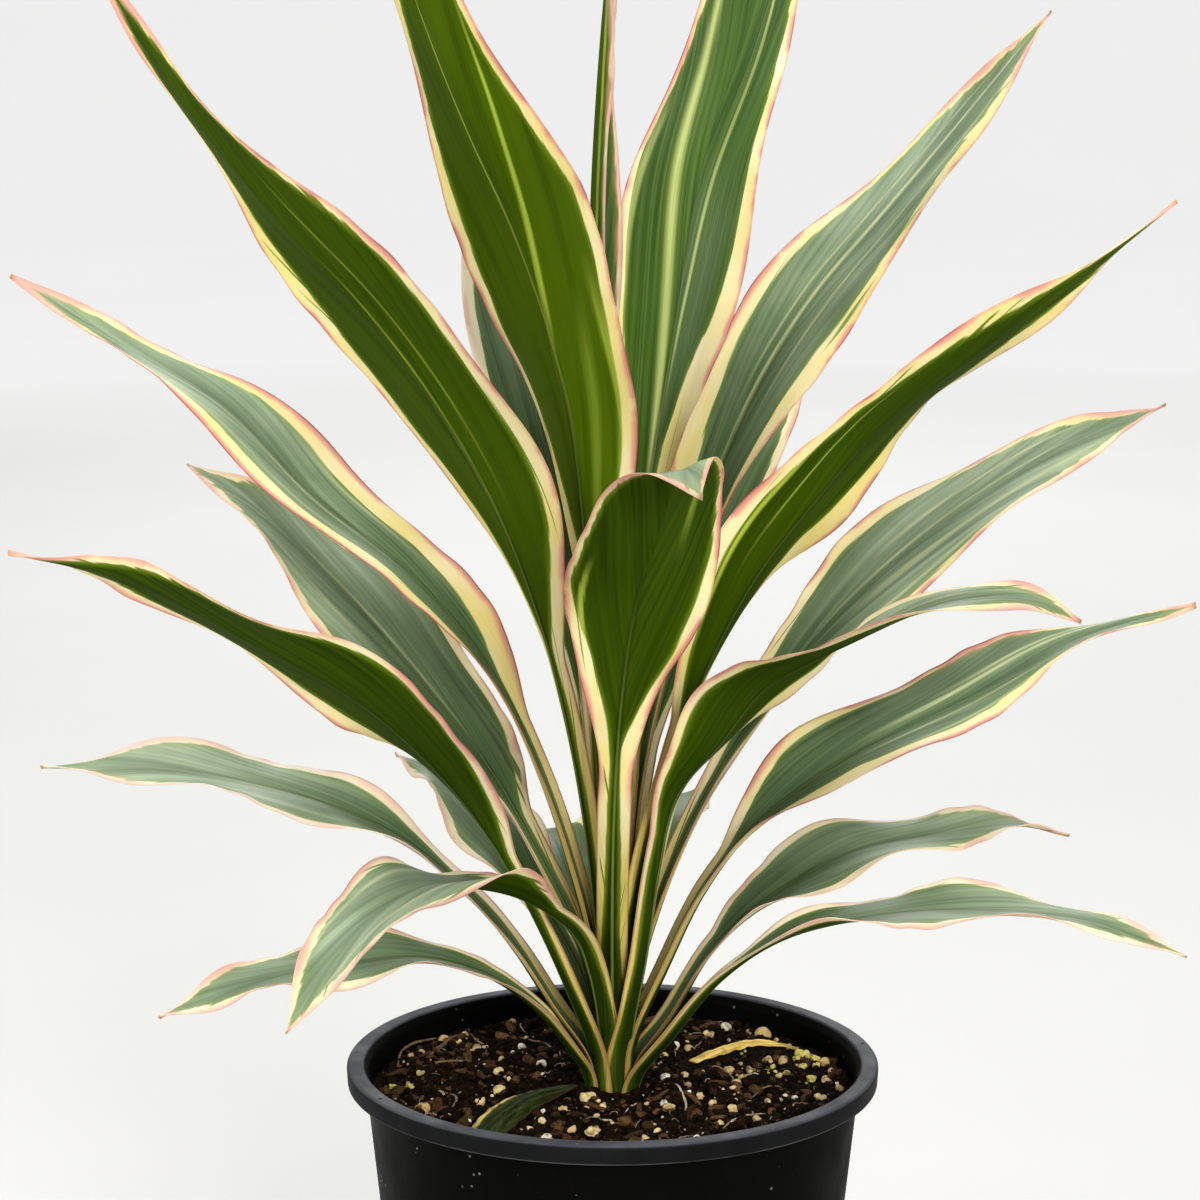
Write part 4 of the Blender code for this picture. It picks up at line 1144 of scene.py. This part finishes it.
def fine_outline(profile, radii, spacing):
    """The outline with each corner rounded to its radius, and points added where they lie further apart."""
    points = [np.array(p, float) for p in profile]
    outline = [points[0]]
    for before, corner, after, radius in zip(points, points[1:], points[2:], radii):
        back, ahead = np.linalg.norm(before - corner), np.linalg.norm(after - corner)
        reach = min(radius, CORNER_MOST * back, CORNER_MOST * ahead)
        start = corner + (before - corner) / back * reach
        end = corner + (after - corner) / ahead * reach
        for x in np.linspace(0, 1, CORNER_STEPS + 1):
            outline.append((1 - x) ** 2 * start + 2 * x * (1 - x) * corner + x ** 2 * end)
    outline.append(points[-1])
    fine = [outline[0]]
    for p, q in zip(outline, outline[1:]):
        count = max(1, int(np.linalg.norm(q - p) / spacing))
        fine += [p + (q - p) * k / count for k in range(1, count + 1)]
    return np.array(fine)


def full_turn(count):
    """Even angles through a full turn."""
    return np.linspace(0, TURN, count, endpoint=False)


def ring_faces(rings, steps):
    """The faces between closed rings of points, each ring's points, and the points next to those."""
    index = np.arange(rings * steps).reshape(rings, steps)
    ahead = np.roll(index, -1, axis=1)
    return np.stack([index[:-1], ahead[:-1], ahead[1:], index[1:]], -1).reshape(-1, 4), index, ahead


def turned(name, radius, height, angles):
    """A closed mesh turned about +Z, whose first and last ring close in a point.

    radius and height have a row for each ring, and one column or one for each angle.
    """
    radius, height, angles = np.broadcast_arrays(radius, height, angles)
    points = np.stack([radius * np.cos(angles), radius * np.sin(angles), height], -1)
    ends = points[[0, -1]].mean(1)
    ends[:, :2] = 0
    quads, index, ahead = ring_faces(*radius.shape)
    count = index.size
    fans = [(a, b, count) for a, b in zip(index[0], ahead[0])]
    fans += [(b, a, count + 1) for a, b in zip(index[-1], ahead[-1])]
    mesh = bpy.data.meshes.new(name)
    points = np.concatenate([points.reshape(-1, 3), ends])
    mesh.from_pydata(points.tolist(), [], quads[:, ::-1].tolist() + fans)
    return mesh


def wall_radius(z):
    """The radius of the pot's outside at height z, below its rim."""
    return BASE_RADIUS + (NECK_RADIUS - BASE_RADIUS) * z / POT_HEIGHT


def inside_radius(z):
    return wall_radius(z) - POT_WALL


def rod(foot, low, high, radius, steps):
    """An upright closed rod over its foot, from low to high, for cutting a hole."""
    start, end = foot + Vector((0, 0, low)), foot + Vector((0, 0, high))
    mesh = bpy.data.meshes.new("rod")
    data = bmesh.new()
    bmesh.ops.create_cone(data, cap_ends=True, segments=steps, radius1=radius, radius2=radius,
                          depth=(end - start).length)
    data.to_mesh(mesh)
    data.free()
    mesh.transform((end - start).to_track_quat("Z", "Y").to_matrix().to_4x4())
    mesh.transform(Matrix.Translation((start + end) / 2))
    return mesh


def pot_holes():
    """The rods that cut the drain holes through the pot's floor and the pinholes into its rim."""
    data = bmesh.new()
    for k in range(DRAIN_HOLES):
        a = TURN * (k + 0.5) / DRAIN_HOLES
        foot = Vector((DRAIN_CIRCLE * math.cos(a), DRAIN_CIRCLE * math.sin(a), 0))
        data.from_mesh(rod(foot, -DRAIN_ROD, DRAIN_ROD, DRAIN_RADIUS, DRAIN_SIDES))
    for x, y in PINHOLES:
        foot = Vector((x, y, 0)).normalized() * (RIM_RADIUS - PINHOLE_INSET)
        low, high = POT_HEIGHT - PINHOLE_DEPTH, POT_HEIGHT + PINHOLE_ROD
        data.from_mesh(rod(foot, low, high, PINHOLE_RADIUS, PINHOLE_SIDES))
    mesh = bpy.data.meshes.new("pot_holes")
    data.to_mesh(mesh)
    data.free()
    return mesh


def make_pot(material):
    """The pot's own profile with rounded edges, a rolled rim, drain holes and three pinholes in the rim."""
    top, under, neck = POT_HEIGHT, POT_HEIGHT - RIM_DROP, POT_HEIGHT - RIM_WALL
    bevel_out, bevel_down = RIM_BEVEL
    bevel_foot = inside_radius(top - bevel_down)
    profile = [
        (NEAR_AXIS, POT_FLOOR), (inside_radius(POT_FLOOR), POT_FLOOR), (bevel_foot, top - bevel_down),
        (bevel_foot + bevel_out, top), (RIM_RADIUS - RIM_LIP, top), (RIM_RADIUS, top - RIM_LIP),
        (RIM_RADIUS - RIM_DRAFT, under), (RIM_RADIUS - RIM_WALL, under), (RIM_RADIUS - RIM_WALL, neck),
        (wall_radius(neck), neck), (wall_radius(BASE_ROUND), BASE_ROUND), (BASE_RADIUS - BASE_ROUND, 0),
        (NEAR_AXIS, 0),
    ]
    outline = fine_outline(profile, POT_CORNERS, POT_SPACING)
    mesh = turned("pot_fine", outline[:, :1], outline[:, 1:], full_turn(POT_STEPS))
    body = link(bpy.data.objects.new("pot_body", mesh))
    cutter = link(bpy.data.objects.new("pot_holes", pot_holes()))
    cut = body.modifiers.new("holes", "BOOLEAN")
    cut.operation = "DIFFERENCE"
    cut.solver = "EXACT"
    cut.object = cutter
    bpy.context.view_layer.update()
    shown = body.evaluated_get(bpy.context.evaluated_depsgraph_get())
    result = bpy.data.meshes.new_from_object(shown)
    bpy.data.objects.remove(body)
    bpy.data.objects.remove(cutter)
    add_piece("pot_fine", result, material, "pot_plastic", "pot")
    sharpen(result)


def sharpen(mesh):
    """Keeps edges sharper than SHARP_ANGLE as edges in the shading."""
    data = bmesh.new()
    data.from_mesh(mesh)
    limit = math.radians(SHARP_ANGLE)
    for edge in data.edges:
        edge.smooth = len(edge.link_faces) != 2 or edge.calc_face_angle(0) < limit
    data.to_mesh(mesh)
    data.free()


# Points along the leaf litter's middle lines
LITTER_SPOTS = np.concatenate([curve_through(route, 6) for route in (CUT_LEAF, DRY_STRIP)])


def litter_distance(x, y):
    """How far the points (x, y) are from the leaf litter's middle lines."""
    place = np.stack([np.ravel(x), np.ravel(y)], -1)
    return np.linalg.norm(place[:, None] - LITTER_SPOTS[None], axis=-1).min(1).reshape(np.shape(x))


def noise_at(x, y, scale):
    flat = zip(np.ravel(x), np.ravel(y))
    values = [noise.noise(Vector((a * scale, b * scale, scale))) for a, b in flat]
    return np.array(values).reshape(np.shape(x))


def soil_relief(x, y):
    """How far the compost stands above its level at (x, y): the solid's own relief."""
    r = np.hypot(x, y)
    calm = ramp(r, *STEM_CALM) * (1 - ramp(r, *WALL_CALM)) * ramp(litter_distance(x, y), *LITTER_CALM)
    coarse, fine = (noise_at(x, y, scale) for scale in RELIEF_SCALES)
    return SOIL_RELIEF * calm * (coarse + 0.5 * fine)


def crumb_relief(x, y):
    """The fine crumb of the compost, on top of its relief and calmer round the leaf litter."""
    r = np.hypot(x, y)
    calm = ramp(r, *CRUMB_STEM_CALM) * (1 - ramp(r, *CRUMB_WALL_CALM))
    crumbs = sum(height * noise_at(x, y, scale) for scale, height in CRUMB)
    lump = np.maximum(0, noise_at(x + 0.7, y, LUMP_SCALE)) ** 1.5 * LUMP_HEIGHT
    quiet = 0.35 + 0.65 * ramp(litter_distance(x, y), *CRUMB_LITTER_CALM)
    return calm * quiet * (crumbs + lump)


def make_soil(material):
    """The compost: its whole body, with the surface crumbled as fine as the eye sees it."""
    edge = inside_radius(SOIL_TOP) - FIT_GAP
    hole = STEM_RADIUS + FIT_GAP
    low = POT_FLOOR + FIT_GAP
    foot = SOIL_TOP - STEM_DEPTH
    rings = hole + (edge - hole) * np.linspace(0, 1, SOIL_RINGS) ** SOIL_CROWDING
    angles = full_turn(SOIL_STEPS)
    one = np.ones_like(angles)
    x, y = np.outer(rings, np.cos(angles)), np.outer(rings, np.sin(angles))
    surface = SOIL_TOP + soil_relief(x, y) + crumb_relief(x, y)
    hole_drop, wall_drop = SOIL_DROPS
    inner = np.array([(NEAR_AXIS, foot), (hole, foot), (hole, SOIL_TOP - hole_drop)])
    wall = [(inside_radius(z) - FIT_GAP, z) for z in (*SOIL_WALL_RINGS, low)]
    outer = np.array([(edge, SOIL_TOP - wall_drop), *wall, (SOIL_UNDER_RING, low), (NEAR_AXIS, low)])
    radius = np.concatenate([inner[:, 0], rings, outer[:, 0]])[:, None]
    height = np.concatenate([np.outer(inner[:, 1], one), surface, np.outer(outer[:, 1], one)])
    mesh = turned("soil_fine", radius[::-1], height[::-1], angles)
    mesh.flip_normals()
    add_piece("soil_fine", mesh, material, "compost", "soil")


def ball(level):
    """The points and faces of an even ball of radius 1."""
    data = bmesh.new()
    bmesh.ops.create_icosphere(data, subdivisions=level, radius=1)
    points = np.array([v.co[:] for v in data.verts])
    faces = [[v.index for v in f.verts] for f in data.faces]
    data.free()
    return points, faces


BALLS = {level: ball(level) for level in (1, 2, 3)}


def lump(draw, shape, level, lumps, facets):
    """The points and faces of one grain: a ball, bulged by noise, cut by a few planes and scaled."""
    points, faces = BALLS[level]
    seed = Vector([draw.uniform(0, 90) for _ in range(3)])
    bulge = [sum(part * noise.noise(Vector(p) * scale + seed) for scale, part in BULGES) for p in points]
    points = points * (1 + lumps * np.array(bulge))[:, None]
    for _ in range(facets):
        axis = unit(np.array([draw.gauss(0, 1) for _ in range(3)]))
        over = np.maximum(0, points @ axis - draw.uniform(*FACET_REACH))
        points = points - over[:, None] * axis * FACET_CUT
    turn = Euler([draw.uniform(*span) for span in GRAIN_TURNS]).to_matrix()
    return points * np.array(shape) @ np.array(turn).T, faces


class Heap:
    """Gathers many small closed forms into one mesh, each with its own tint."""

    def __init__(self):
        self.points, self.faces, self.tints = [], [], []
        self.count = 0

    def add(self, form, tint, offset=(0, 0, 0)):
        """Adds a form, given as its points and faces, moved by the offset."""
        points, faces = form
        self.points.append(points + np.array(offset))
        self.faces += [tuple(i + self.count for i in face) for face in faces]
        self.tints.append(np.tile(tint, (len(points), 1)))
        self.count += len(points)

    def finish(self, name, material):
        """Makes the gathered forms one piece of the compost."""
        mesh = bpy.data.meshes.new(name)
        mesh.from_pydata(np.concatenate(self.points).tolist(), [], self.faces)
        add_values(mesh, "crumb_tint", *np.concatenate(self.tints).T)
        add_piece(name, mesh, material, "compost")


def ground(x, y):
    """The height of the compost's surface at one point."""
    return SOIL_TOP + float(soil_relief(x, y) + crumb_relief(x, y))


def held_in(x, y, limit):
    """The point, drawn in to the limit if it lies further from the axis."""
    r = math.hypot(x, y)
    return (x * limit / r, y * limit / r) if r > limit else (x, y)


def skewed(draw, low, high, power):
    """A random number from low to high, mostly near low if the power is great."""
    return low + (high - low) * draw.random() ** power


def free_spot(draw, reach, clear):
    """A random place on the compost, clear of the stem and the leaf litter."""
    while True:
        r = reach * math.sqrt(draw.uniform(0.02, 1))
        a = draw.uniform(0, TURN)
        x, y = r * math.cos(a), r * math.sin(a)
        if r > STEM_CLEAR and litter_distance(x, y) > clear:
            return x, y


def grain_places():
    """The places and sizes of the grains that the solid has, found again by the same draw."""
    draw = random.Random(GRAIN_SEED)
    places = []
    while len(places) < GRAIN_COUNT:
        r = GRAIN_REACH * math.sqrt(draw.uniform(0.06, 1))
        a = draw.uniform(0, TURN)
        size = draw.uniform(*GRAIN_SIZES)
        x, y = r * math.cos(a), r * math.sin(a)
        near = any(math.hypot(x - px, y - py) < GRAIN_SPACING * (size + ps) for px, py, ps in places)
        if not near and litter_distance(x, y) > LITTER_CALM[0] + size:
            places.append((x, y, size))
    return places


def scatter(heap, draw, count, reach, clear, sizes, sides, form, lift, tones):
    """Scatters crumbs over the compost.

    reach is how far out they lie, clear how far from the leaf litter's middle lines, and sizes and tones each
    the least, the most and the skew. Each of the sides is a length in sizes or a range of them. form is the
    ball's level, how far it is bulged, and its planes, and lift how far it stands out, in sizes.
    """
    for _ in range(count):
        x, y = free_spot(draw, reach, clear)
        size = skewed(draw, *sizes)
        shape = [size * (draw.uniform(*side) if isinstance(side, tuple) else side) for side in sides]
        grain = lump(draw, shape, *form)
        tone = skewed(draw, *tones)
        heap.add(grain, (tone, draw.random(), 0), (x, y, ground(x, y) + lift * size))


def make_crumbs(material):
    """Loose peat crumbs and bark chips over the whole surface, and finer crumbs between them."""
    draw = random.Random(CRUMB_SEED)
    crumbs, fines = Heap(), Heap()
    scatter(crumbs, draw, 2050, 0.0985, 0.0085, (0.0006, 0.0026, 2.4), ((0.7, 1.5), (0.7, 1.2), (0.5, 0.95)),
            (2, 0.45, 2), 0.30, (0, 1, 1.6))
    scatter(crumbs, draw, 90, 0.094, 0.012, (0.0016, 0.0042, 1), (1.5, 0.62, 0.30),
            (2, 0.30, 4), 0.35, (0.65, 1, 1))
    scatter(fines, draw, 3600, 0.0985, 0.0068, (0.00028, 0.0009, 1.6), ((0.7, 1.6), (0.6, 1.2), (0.5, 1.0)),
            (1, 0.60, 0), 0.55, (0, 1, 1.1))
    crumbs.finish("compost_crumbs", material)
    fines.finish("compost_fines", material)


def stone(heap, draw, x, y, size, form, lift, tint):
    """Adds one grain that lies half sunk in the compost."""
    x, y = held_in(x, y, STONE_REACH - size)
    shape = [size * draw.uniform(*side) for side in STONE_SIDES]
    heap.add(lump(draw, shape, *form), tint, (x, y, ground(x, y) + lift * size))


def cluster(heap, draw, x, y, size, lift, tint):
    """Adds one grain of expanded clay or lime: a few small lumps grown together, half sunk in the compost."""
    stone(heap, draw, x, y, size * 0.75, CLUSTER_FORM, lift, tint)
    for k in range(CLUSTER_LUMPS):
        a = TURN * (k + draw.random()) / CLUSTER_LUMPS
        out = size * draw.uniform(0.35, 0.62)
        part = size * draw.uniform(0.40, 0.58)
        high = ground(x, y) + size * (lift + draw.uniform(-0.1, 0.45))
        grain = lump(draw, [part, part, part * 0.9], *CLUSTER_FORM)
        heap.add(grain, tint, (x + out * math.cos(a), y + out * math.sin(a), high))


def metres(rows):
    """The rows of numbers in millimetres, in metres."""
    return [[value / 1000 for value in row] for row in rows]


def make_grit(clod_look):
    """Tan and cream grit, white perlite and yellow-green lumps where the photograph shows them, and clods."""
    draw = random.Random(GRAIN_SEED + 1)
    grit, white, yellow, clods = Heap(), Heap(), Heap(), Heap()
    for k, (x, y, size) in enumerate(grain_places()):
        if k % 4 == 0:
            tint = (draw.uniform(0.3, 0.9), draw.uniform(0, 0.8), 0)
            stone(grit, draw, x, y, size * 0.85, (3, 0.16, 6), 0.15, tint)
        else:
            tint = (draw.uniform(0, 0.6), 0.4 * draw.random(), 0)
            stone(clods, draw, x, y, size, (3, 0.40, 3), 0.12, tint)
    for x, y, size in metres(TAN_GRAINS + PINK_GRAINS):
        stone(grit, draw, x, y, size, (3, 0.14, 6), 0.30, (draw.uniform(0.45, 0.8), 0.9, 0))
    for k, (x, y, size) in enumerate(metres(CREAM_GRAINS)):
        tint = (draw.uniform(0.8, 1.0), 0.3, 0)
        if k % 2 and size > 0.0018:
            cluster(grit, draw, x, y, size, 0.32, tint)
        else:
            stone(grit, draw, x, y, size, (3, 0.22, 7), 0.32, tint)
    for _ in range(SMALL_STONES):
        x, y = free_spot(draw, SMALL_REACH, SMALL_CLEAR)
        size = skewed(draw, 0.0004, 0.0014, 2.2)
        stone(grit, draw, x, y, size, (2, 0.16, 5), 0.35, (draw.uniform(0.3, 1.0), draw.uniform(0, 0.9), 0))
    for x, y, size in metres(WHITE_GRAINS):
        stone(white, draw, x, y, size, (3, 0.24, 3), 0.40, (draw.uniform(0.8, 1.0), 0, 0))
    for _ in range(SMALL_WHITES):
        x, y = free_spot(draw, SMALL_REACH, SMALL_CLEAR)
        size = skewed(draw, 0.0004, 0.0012, 1.8)
        stone(white, draw, x, y, size, (2, 0.24, 3), 0.45, (draw.uniform(0.7, 1.0), 0, 0))
    for x, y, size in metres(YELLOW_LUMPS):
        cluster(yellow, draw, x, y, size * 1.05, 0.40, (draw.uniform(0.6, 1.0), 0.2, 0))
    for _ in range(SMALL_YELLOWS):
        a, r = draw.uniform(-0.2, 0.7), draw.uniform(0.062, 0.095)
        size = draw.uniform(0.0006, 0.0014)
        tint = (draw.uniform(0.5, 1.0), 0.2, 0)
        stone(yellow, draw, r * math.cos(a), r * math.sin(a), size, (2, 0.3, 2), 0.4, tint)
    grit.finish("grit_stones", stone_material("grit_stone", GRIT_LIGHT, GRIT_DARK, 0.72, 0.2))
    white.finish("white_grains", stone_material("white_grain", WHITE_LIGHT, WHITE_DARK, 0.80))
    yellow.finish("yellow_lumps", stone_material("yellow_lump", YELLOW_LIGHT, YELLOW_DARK, 0.75))
    clods.finish("peat_clods", clod_look)


def tube(route, radii, sides):
    """The points and faces of a closed tube along the route."""
    route = np.array(route)
    tangent = unit(np.gradient(route, axis=0))
    across = unit(np.cross(tangent, np.array([0.13, 0.21, 0.97])))
    other = np.cross(across, tangent)
    a = full_turn(sides)[:, None]
    ring = across[:, None] * np.cos(a) + other[:, None] * np.sin(a)
    points = (route[:, None] + ring * np.array(radii)[:, None, None]).reshape(-1, 3)
    faces, index, _ = ring_faces(len(route), sides)
    return points, faces.tolist() + [index[0][::-1].tolist(), index[-1].tolist()]


def make_sticks(material):
    """Old roots, slivers of bark and sticks lying on the compost, and the dry threads at the plant's foot."""
    draw = random.Random(GRAIN_SEED + 2)
    heap = Heap()
    for stops, thickness, tone in STICKS:
        route = curve_through([(x / 1000, y / 1000, 0) for x, y, _ in stops], 8)
        places, all_places = (np.linspace(0, 1, len(points)) for points in (stops, route))
        lifts = np.interp(all_places, places, [z for _, _, z in stops])
        surface = np.pad([ground(x, y) for x, y, _ in route], STICK_SPAN // 2, "edge")
        level = np.convolve(surface, np.ones(STICK_SPAN) / STICK_SPAN, "valid")
        route[:, 2] = level + lifts / 1000 * STICK_LIFT
        ends = np.sin(np.linspace(STICK_END, math.pi - STICK_END, len(route))) ** 0.5
        radii = thickness / 2000 * ends * np.array([draw.uniform(0.80, 1.20) for _ in route])
        heap.add(tube(route, radii, STICK_SIDES), (tone, 0, 0))
    for _ in range(THREAD_COUNT):
        x, y = free_spot(draw, 0.093, 0.010)
        a, length = draw.uniform(0, TURN), draw.uniform(*THREAD_LENGTHS)
        bend = draw.uniform(-0.6, 0.6)
        route = []
        for k in range(THREAD_POINTS):
            u = k / (THREAD_POINTS - 1)
            turn = a + bend * u
            px, py = held_in(x + length * u * math.cos(turn), y + length * u * math.sin(turn), THREAD_REACH)
            route.append((px, py, ground(px, py) + THREAD_LIFT + THREAD_ARCH * math.sin(math.pi * u)))
        thread = tube(route, [draw.uniform(*THREAD_RADII)] * THREAD_POINTS, THREAD_SIDES)
        heap.add(thread, (draw.random() ** 1.5 * 0.8, 0, 0))
    heap.finish("sticks_and_roots", material)


def make_litter(name, route, half, material, slot, ragged, tilt):
    """An old piece of leaf lying on the compost, pleated and a little torn along its edges."""
    line = curve_through([(*p, 0) for p in route], 24)
    shares, length = run_of(line)
    s = np.linspace(0, 1, LITTER_ROWS)
    t = np.linspace(-1, 1, LITTER_COLUMNS)
    centre = positions_at(line, shares, s)
    along = directions_at(line, shares, s, 0.02)
    rough = [1 + ragged * noise.noise(Vector((9 * x, 0.3, 4.1))) for x in s]
    width = (half * (1 - (1 - LITTER_TIP) * s ** 3) * np.array(rough))[:, None]
    across = t * width
    rise = LITTER_ARCH * (1 - t ** 2) * np.sin(math.pi * s)[:, None]
    pleats = LITTER_PLEAT * np.cos(across * TURN / (half * LITTER_PLEAT_SHARE))
    scale = CRUMPLE_SCALE
    crumple = np.array([[CRUMPLE * noise.noise(Vector((a * scale, b * scale, 2.2))) for b in row]
                        for a, row in zip(s * length, across)])
    height = SOIL_TOP + FIT_GAP + BLADE_THICKNESS / 2 + rise + np.abs(crumple) + pleats * 0.6 + LITTER_LIFT
    height = height + tilt * ((1 + t) / 2) ** 1.5 * np.sin(math.pi * s ** 0.8)[:, None]
    x, y = centre[:, :1] - along[:, 1:2] * across, centre[:, 1:2] + along[:, :1] * across
    surface = np.stack([x, y, height], -1)
    thickness = LITTER_BODY * (1 - 0.5 * t ** 4)[:, None]
    normal = normals_of(surface)
    mesh = closed_grid(name, surface + normal * thickness / 2, surface - normal * thickness / 2)
    s = s[:, None] * np.ones_like(across)
    add_values(mesh, "leaf_place", both(across), both(s * length))
    add_values(mesh, "leaf_edge", both((width - np.abs(across)) * 1000))
    add_values(mesh, "leaf_share", both(s))
    add_piece(f"{name}_fine", mesh, material, slot, name)


def make_stem(material):
    """The short stem, ribbed and ringed by the leaves that have left it."""
    profile = [(STEM_TIP, -STEM_DEPTH), (STEM_RADIUS, -STEM_DEPTH), (STEM_RADIUS, 0),
               (STEM_TOP_RADIUS, STEM_HEIGHT), (STEM_TIP, STEM_HEIGHT)]
    outline = fine_outline(profile, STEM_CORNERS, STEM_SPACING)
    angles = full_turn(STEM_STEPS)
    up = outline[:, 1:]
    round_it, upward = STEM_RIBS
    ribs = np.array([[noise.noise(Vector((math.cos(a) * round_it, math.sin(a) * round_it, z * upward)))
                      for a in angles] for z in outline[:, 1]])
    rings = np.sin(TURN * (up * STEM_RINGS + 0.12 * np.sin(angles * 2)))
    groove = STEM_RIB * (0.5 + 0.5 * ribs) + STEM_RING * (0.5 - 0.5 * rings)
    radius = np.maximum(STEM_LEAST, outline[:, :1] - groove)
    mesh = turned("stem_fine", radius, up + SOIL_TOP, angles)
    mesh.flip_normals()
    add_piece("stem_fine", mesh, material, "stem", "stem")


def make_floor():
    """The plain pale floor: level round the plant, and rising far behind every view into a backdrop."""
    out = np.array(FLOOR_RINGS)[:, None]
    share = np.maximum(0, out - FLOOR_LEVEL) / (FLOOR_RINGS[-1] - FLOOR_LEVEL)
    rise = FLOOR_RISE * share ** FLOOR_CURVE
    a = TURN * np.arange(FLOOR_STEPS) / FLOOR_STEPS
    points = np.stack(np.broadcast_arrays(out * np.cos(a), out * np.sin(a), rise), -1).reshape(-1, 3)
    faces, index, _ = ring_faces(len(FLOOR_RINGS), FLOOR_STEPS)
    mesh = bpy.data.meshes.new("studio_floor")
    mesh.from_pydata(points.tolist(), [], faces[:, [0, 3, 2, 1]].tolist() + [index[0].tolist()])
    smooth(mesh)
    paint = Paint("studio_floor")
    far, _ = paint.out_and_up()
    glow = far.step(1.2, 3.4, 0.0, 0.10) + far.step(3.0, 5.0, 0.0, 0.30)
    base = paint.noise(3, 3).mix(FLOOR_DARK, FLOOR_LIGHT)
    paint.set(Base_Color=base, Roughness=0.80, Emission_Color=FLOOR_GLOW, Emission_Strength=glow)
    mesh.materials.append(paint.material)
    link(bpy.data.objects.new("studio_floor", mesh))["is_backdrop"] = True


def add_light(name, place, size, power, colour):
    lamp = bpy.data.lights.new(name, "AREA")
    lamp.shape = "DISK"
    lamp.size = size
    lamp.energy = power
    lamp.color = colour
    light = link(bpy.data.objects.new(name, lamp))
    light.location = place
    light.rotation_euler = (Vector(LIT_POINT) - Vector(place)).to_track_quat("-Z", "Y").to_euler()
    light.visible_camera = False


def make_light():
    """Soft daylight from above and behind, as under a glass roof, with a weak fill from the front."""
    for light in LIGHTS:
        add_light(*light)
    world = bpy.data.worlds.new("studio_world")
    world.use_nodes = True
    background = world.node_tree.nodes["Background"]
    background.inputs["Color"].default_value = (*WORLD_COLOUR, 1)
    background.inputs["Strength"].default_value = WORLD_STRENGTH
    bpy.context.scene.world = world


def make_camera():
    camera = bpy.data.cameras.new("photo_camera")
    camera.sensor_fit = "HORIZONTAL"
    camera.sensor_width = SENSOR
    camera.lens = FOCAL_IN_FRAMES * SENSOR
    camera.clip_end = CAMERA_REACH
    holder = link(bpy.data.objects.new("photo_camera", camera))
    holder.location = CAMERA_PLACE
    holder.rotation_euler = (math.radians(90 - CAMERA_DOWN), 0, math.radians(CAMERA_LEFT))
    bpy.context.scene.camera = holder


def main():
    upper, lower = LeafPaint("leaf_upper_side", True), LeafPaint("leaf_lower_side", False)
    for number, spec in enumerate(LEAVES):
        make_leaf(number, spec, upper.material, lower.material)
    make_stem(stem_material())
    make_pot(plastic_material())
    make_soil(compost_material())
    crumb_look = crumb_material()
    make_crumbs(crumb_look)
    make_grit(crumb_look)
    make_sticks(stick_material())
    make_litter("cut_leaf_piece", CUT_LEAF, CUT_LEAF_HALF, faded_material(), "faded_leaf", 0.14, 0.0022)
    make_litter("dry_leaf_strip", DRY_STRIP, DRY_STRIP_HALF, straw_material(), "dry_leaf", 0.35, 0.0012)
    make_floor()
    make_light()
    make_camera()
    bpy.context.scene.view_settings.view_transform = "Standard"
    bpy.context.scene.view_settings.look = "Medium High Contrast"
    boxes = [[[float(x) for x in corner] for corner in box] for box in (CAD_BOX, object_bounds())]


main()
